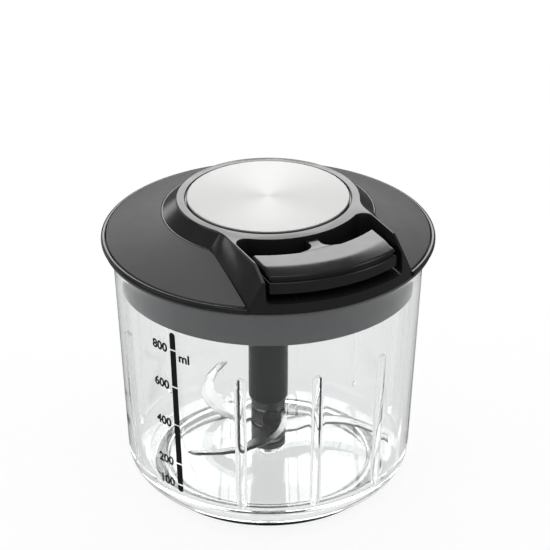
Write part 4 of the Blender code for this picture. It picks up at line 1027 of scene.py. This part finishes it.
def cover_hollow():
    """Turned hollow under the cover, which leaves a wall round the handle's recess."""
    ceiling = DISC_TOP_Z - DISC_THICKNESS - GAP - TOP_PLATE
    wall = INLAY_THICKNESS + GAP + COVER_WALL
    shoulder_r = HUB_BASE_R - COVER_WALL / 2
    rim_r = INLAY_R - 2 * COVER_WALL
    cavity = new_object("cavity", lathe([
        (0.0, ceiling), (HUB_TOP_R - 2 * COVER_WALL, ceiling), (shoulder_r, brim_z(shoulder_r) - wall),
        (rim_r, max(brim_z(rim_r) - wall, COVER_BOTTOM_Z + CROWN_EDGE / 4)), (rim_r, COVER_BOTTOM_Z - OVER),
        (0.0, COVER_BOTTOM_Z - OVER)]))
    guard = [[(x, y, z) for x, y in recess_outline(COVER_WALL)]
             for z in (RECESS_FLOOR_Z - COVER_WALL, CROWN_TOP_Z + OVER)]
    combine(cavity, loft(guard))
    return cavity


def disc_seat():
    """Round seat of the steel disc, with a chamfered mouth."""
    bottom = DISC_TOP_Z - DISC_THICKNESS - GAP
    seat_r = DISC_R + DISC_GROOVE
    above = CROWN_TOP_Z + OVER
    return lathe([
        (0.0, bottom), (seat_r, bottom), (seat_r, CROWN_TOP_Z - DISC_MOUTH),
        (seat_r + DISC_MOUTH, CROWN_TOP_Z), (seat_r + DISC_MOUTH, above), (0.0, above)])


def build_cover():
    """Top moulding: plate, lip and crown joined, then hollowed, cut for recess and disc, and bored."""
    cover = new_object("top_cover", cover_plate())
    combine(cover, lip_shape(), "UNION")
    crown = new_object("crown", crown_shape())
    combine(crown, crown_envelope(), "INTERSECT")
    combine(cover, crown, "UNION")
    combine(cover, hub_foot(), "UNION")
    combine(cover, cover_hollow())
    below = rod(LIP_R + OVER, COVER_BOTTOM_Z - 2 * OVER, COVER_BOTTOM_Z, STEPS_SMALL)
    combine(cover, below)
    combine(cover, recess_shape())
    combine(cover, disc_seat())
    bore = pull_rod(CORD_BORE_R, RECESS_BACK_R - 2 * OVER, RECESS_BACK_R + 2 * OVER)
    combine(cover, bore)
    weld(cover)
    dress(cover, "black_plastic", "lid", "lid_cover")


def build_brim():
    top_in = HUB_BASE_R - OVER
    edge_r = INLAY_R + GAP - INLAY_EDGE_GROOVE
    profile = rounded(
        [(top_in, brim_z(top_in) - INLAY_THICKNESS), (edge_r, brim_z(edge_r) - INLAY_THICKNESS),
         (edge_r, brim_z(edge_r)), (top_in, brim_z(top_in))], {2: INLAY_EDGE})
    inlay = new_object("brim_inlay", lathe(profile))
    combine(inlay, crown_shape(INLAY_GROOVE))
    foot_r = HUB_BASE_R + HUB_FOOT + INLAY_GROOVE / 2
    combine(inlay, rod(foot_r, COVER_BOTTOM_Z, CROWN_TOP_Z, STEPS))
    dress(inlay, "matt_plastic", "lid", "brim_plate")


def build_disc():
    bottom = DISC_TOP_Z - DISC_THICKNESS
    profile = rounded(
        [(0.0, bottom), (DISC_R, bottom), (DISC_R, DISC_TOP_Z), (0.0, DISC_TOP_Z)], {2: DISC_EDGE})
    disc = new_object("hub_disc", lathe(profile))
    dress(disc, "brushed_steel", "lid", "steel_disc")


def handle_top_height(r):
    """Top of the grip at a radius: flat, then falling to the front edge above the groove."""
    if r <= HANDLE_FLAT_R:
        return HANDLE_TOP_Z
    share = (r - HANDLE_FLAT_R) / (HANDLE_FRONT_R - HANDLE_FLAT_R)
    front_z = HANDLE_PARTING_Z + GAP + HANDLE_FRONT_EDGE
    return HANDLE_TOP_Z - (HANDLE_TOP_Z - front_z) * min(1.0, share) ** HANDLE_FALL_POWER


def rounding(distance, radius):
    """Depth of a rounded edge below the surface at a distance from the edge."""
    near = min(distance, radius)
    return radius - math.sqrt(max(0.0, radius ** 2 - (radius - near) ** 2))


def back_arc_v(x):
    """Back edge of the grip at a distance from its middle."""
    return HANDLE_BACK_V - HANDLE_BACK_ARC_R + math.sqrt(HANDLE_BACK_ARC_R ** 2 - x * x)


def grip_back_v(x, half_width):
    """Back edge of the grip with its round corners."""
    into = abs(x) - (half_width - HANDLE_CORNER_R)
    if into <= 0.0:
        return back_arc_v(x)
    return back_arc_v(x) + HANDLE_CORNER_R - math.sqrt(max(0.0, HANDLE_CORNER_R ** 2 - into ** 2))


def edge_lines(radii, steps=9):
    """Distances from an edge where lines stand, to follow roundings of these radii and the groove."""
    lines = [HANDLE_GROOVE_DEPTH + HANDLE_GROOVE_STEP, HANDLE_GROOVE_DEPTH]
    for radius in radii:
        lines += [radius * (1 - math.sin(math.pi / 2 * i / steps)) for i in range(steps)]
    apart = []
    for line in sorted(lines, reverse=True):
        if line > 0.0 and (not apart or apart[-1] - line > HANDLE_LINE_GAP):
            apart.append(line)
    return apart + [0.0]


def grip_mesh(bottom_z, top_of, front_r, lip_side, side_edge, back_edge, groove, foot_edge):
    """Closed curved grip with rounded edges above and below, and a groove let into its rim."""
    half_width = HANDLE_BACK_X + lip_side
    depth_of_all = front_r - HANDLE_BACK_V
    lines = edge_lines((HANDLE_CORNER_R, side_edge, HANDLE_FRONT_EDGE))
    inner = 1 - lines[0] / half_width
    half = [inner * i / 24 for i in range(24)] + [1 - line / half_width for line in lines]
    columns = [-u for u in half[:0:-1]] + half
    back_lines = [line / depth_of_all for line in edge_lines((back_edge,), 6)[::-1]]
    front_lines = [1 - line / depth_of_all for line in lines]
    rows = back_lines + [
        back_lines[-1] + (front_lines[0] - back_lines[-1]) * i / 20 for i in range(1, 20)] + front_lines
    bm = bmesh.new()
    top = []
    low = []
    for u in columns:
        back_x = u * half_width
        front_x = u * (HANDLE_FRONT_X + lip_side)
        back_v = grip_back_v(back_x, half_width)
        depth = math.sqrt(front_r ** 2 - front_x ** 2) - back_v
        top_line = []
        low_line = []
        for share in rows:
            x = back_x + (front_x - back_x) * share
            v = back_v + depth * share
            side = (1 - abs(u)) * half_width
            front = (1 - share) * depth_of_all
            level = top_of(math.hypot(x, v))
            if min(side, front) < HANDLE_GROOVE_DEPTH + HANDLE_GROOVE_STEP / 2:
                level -= groove
            room = level - bottom_z - GAP
            drop = max(
                rounding(side, min(side_edge, room)), rounding(share * depth, back_edge),
                rounding(front, min(HANDLE_FRONT_EDGE, room)))
            rise = rounding(min(side, share * depth, front), foot_edge)
            top_line.append(bm.verts.new((x, -v, level - drop)))
            low_line.append(bm.verts.new((x, -v, bottom_z + rise)))
        top.append(top_line)
        low.append(low_line)
    for i in range(len(columns) - 1):
        for j in range(len(rows) - 1):
            bm.faces.new((top[i][j], top[i + 1][j], top[i + 1][j + 1], top[i][j + 1]))
            bm.faces.new((low[i][j], low[i][j + 1], low[i + 1][j + 1], low[i + 1][j]))
    foot = rim_of(low)
    crest = rim_of(top)
    for k, vert in enumerate(foot):
        bm.faces.new((vert, foot[k - 1], crest[k - 1], crest[k]))
    return bm


def rim_of(grid):
    """Points around the outside of a grid of lines."""
    back = [line[0] for line in grid]
    front = [line[-1] for line in grid[-2::-1]]
    return back + grid[-1][1:] + front + grid[0][-2:0:-1]


def stem_half_width(v):
    """Half width of the stem at a distance from the axis: tip, neck, then a flare into the grip."""
    if v <= STEM_NECK_V:
        share = (STEM_NECK_V - v) / (STEM_NECK_V - HANDLE_STOP_R)
        return STEM_NECK_HALF_WIDTH + (STEM_TIP_HALF_WIDTH - STEM_NECK_HALF_WIDTH) * share ** 2
    share = min(1.0, (v - STEM_NECK_V) / stem_flare_length())
    return STEM_NECK_HALF_WIDTH + (STEM_FLARE_X - STEM_NECK_HALF_WIDTH) * (1 - math.sqrt(1 - share ** 2))


def stem_flare_length():
    return back_arc_v(STEM_FLARE_X) - STEM_NECK_V


def stem_mesh(bottom_z, tip_z, root_z):
    """Stem between the grip and the hub, with rounded top edges and a rounded tip."""
    edge = HANDLE_BACK_EDGE
    root_v = HANDLE_BACK_V + edge
    stations = [HANDLE_STOP_R + edge * (1 - math.cos(math.pi / 2 * i / 5)) for i in range(5)]
    stations += [HANDLE_STOP_R + edge + (STEM_NECK_V - HANDLE_STOP_R - edge) * i / 8 for i in range(9)]
    stations += [STEM_NECK_V + stem_flare_length() * math.sin(math.pi / 2 * i / 16) for i in range(1, 17)]
    stations += [HANDLE_BACK_V + 2 * edge]
    rings = []
    for v in stations:
        inset = rounding(v - HANDLE_STOP_R, edge)
        half = stem_half_width(v) - inset
        z = tip_z + (root_z - tip_z) * (v - HANDLE_STOP_R) / (root_v - HANDLE_STOP_R) - inset
        section = arc(half - edge, z - edge, edge, 0.0, math.pi / 2, 6)
        ring = [(half, bottom_z)] + section
        ring += [(-x, height) for x, height in ring[::-1]]
        rings.append([(x, -v, height) for x, height in ring])
    return loft(rings)


def pull_rod(radius, near, far):
    """Round rod along the pull, at the cord's height, between two distances from the axis."""
    bm = rod(radius, near, far, STEPS_SMALL)
    bm.transform(Matrix.Translation((0.0, 0.0, CORD_Z)) @ Matrix.Rotation(math.pi / 2, 4, "X"))
    return bm


def build_handle():
    """Upper and lower shell, each with its half of the stem."""
    seam = HANDLE_PARTING_Z
    lower_seam = seam - GAP
    upper = new_object("grip_top", grip_mesh(
        seam, handle_top_height, HANDLE_FRONT_R, 0.0, HANDLE_SIDE_EDGE, HANDLE_BACK_EDGE, 0.0,
        HANDLE_SEAM_EDGE))
    combine(upper, stem_mesh(seam, HANDLE_STEM_TOP_Z, HANDLE_TOP_Z), "UNION")
    dress(upper, "black_plastic", "handle", "handle_top")
    lower = new_object("grip_bottom", grip_mesh(
        HANDLE_BOTTOM_Z, lambda r: lower_seam, HANDLE_FRONT_R + HANDLE_LIP, HANDLE_LIP_SIDE,
        HANDLE_FRONT_EDGE, GAP, HANDLE_GROOVE, HANDLE_FOOT_EDGE))
    combine(lower, stem_mesh(HANDLE_BOTTOM_Z, lower_seam, lower_seam), "UNION")
    combine(lower, pull_rod(STEM_CHANNEL_R, HANDLE_STOP_R - OVER, KNOT_Y))
    pocket = rod(KNOT_R + GAP, CORD_Z - KNOT_R - GAP, seam, STEPS_SMALL, 0.0, -KNOT_Y)
    combine(lower, pocket)
    front_v = math.sqrt(HANDLE_FRONT_R ** 2 - HANDLE_SCREW_X ** 2)
    screw_v = (back_arc_v(HANDLE_SCREW_X) + front_v) / 2
    for side in (-1, 1):
        hole = rod(
            SCREW_HOLE_R, HANDLE_BOTTOM_Z - OVER, HANDLE_BOTTOM_Z + SCREW_HOLE_DEPTH, STEPS_SMALL // 2,
            side * HANDLE_SCREW_X, -screw_v)
        combine(lower, hole)
    dress(lower, "black_plastic", "handle", "handle_bottom")


def tube(points, radius, sides=12):
    """Round tube along a list of points, closed at both ends."""
    rings = []
    normal = Vector((0.0, 0.0, 1.0))
    for i, point in enumerate(points):
        along = (points[min(i + 1, len(points) - 1)] - points[max(i - 1, 0)]).normalized()
        side = along.cross(normal).normalized()
        up = side.cross(along)
        angles = [2 * math.pi * k / sides for k in range(sides)]
        rings.append([point + side * radius * math.cos(a) + up * radius * math.sin(a) for a in angles])
    return loft(rings)


def build_cord():
    """The turns stay on the drum; the run to the handle, drawn out in use as the handle moves, is one fixed
    tube that doesn't follow it.
    """
    touch = math.acos(WINDING_R / CORD_MOUTH_Y)
    leave = -math.pi / 2 - touch
    per_turn = 48
    steps = int(CORD_TURNS * per_turn)
    turns = []
    for i in range(steps + 1):
        back = 2 * math.pi * (steps - i) / per_turn
        z = CORD_Z - CORD_PITCH * (steps - i) / per_turn
        angle = leave - back
        turns.append(Vector((WINDING_R * math.cos(angle), WINDING_R * math.sin(angle), z)))
    winding = new_object("cord_turns", tube(turns, CORD_R))
    dress(winding, "cord", "lid", "pull_cord")
    start = turns[-1]
    corner = Vector((0.0, -CORD_MOUTH_Y, CORD_Z))
    end = Vector((0.0, -(KNOT_Y - KNOT_R + CORD_IN_KNOT), CORD_Z))
    enter = corner + (start - corner).normalized() * CORD_BEND
    leave_point = corner + Vector((0.0, -1.0, 0.0)) * CORD_BEND
    run = [start.lerp(enter, i / 6) for i in range(7)]
    run += [bend(enter, corner, leave_point, i / 8) for i in range(1, 8)]
    run += [leave_point.lerp(end, i / 16) for i in range(17)]
    piece = new_object("cord_run", tube(run, CORD_RUN_R))
    piece.data.materials.append(MATERIALS["cord"])
    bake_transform(piece)


def carry_over():
    """Materials of the CAD nodes that stay in view."""
    slots = {row["node"]: row["material_slot"] for row in frame["record"]["subparts"]}
    for name, obj in frame["nodes"].items():
        if obj.hide_render:
            continue
        obj.data.materials.clear()
        obj.data.materials.append(MATERIALS[slots[name]])
        shade(obj.data)


place_camera()
build_floor()
build_world()
add_lamps()
build_bowl()
build_ring()
build_scale()
build_column()
build_lid_base()
build_cover()
build_brim()
build_disc()
build_handle()
build_cord()
carry_over()

scene = bpy.context.scene
scene.view_settings.view_transform = "Standard"
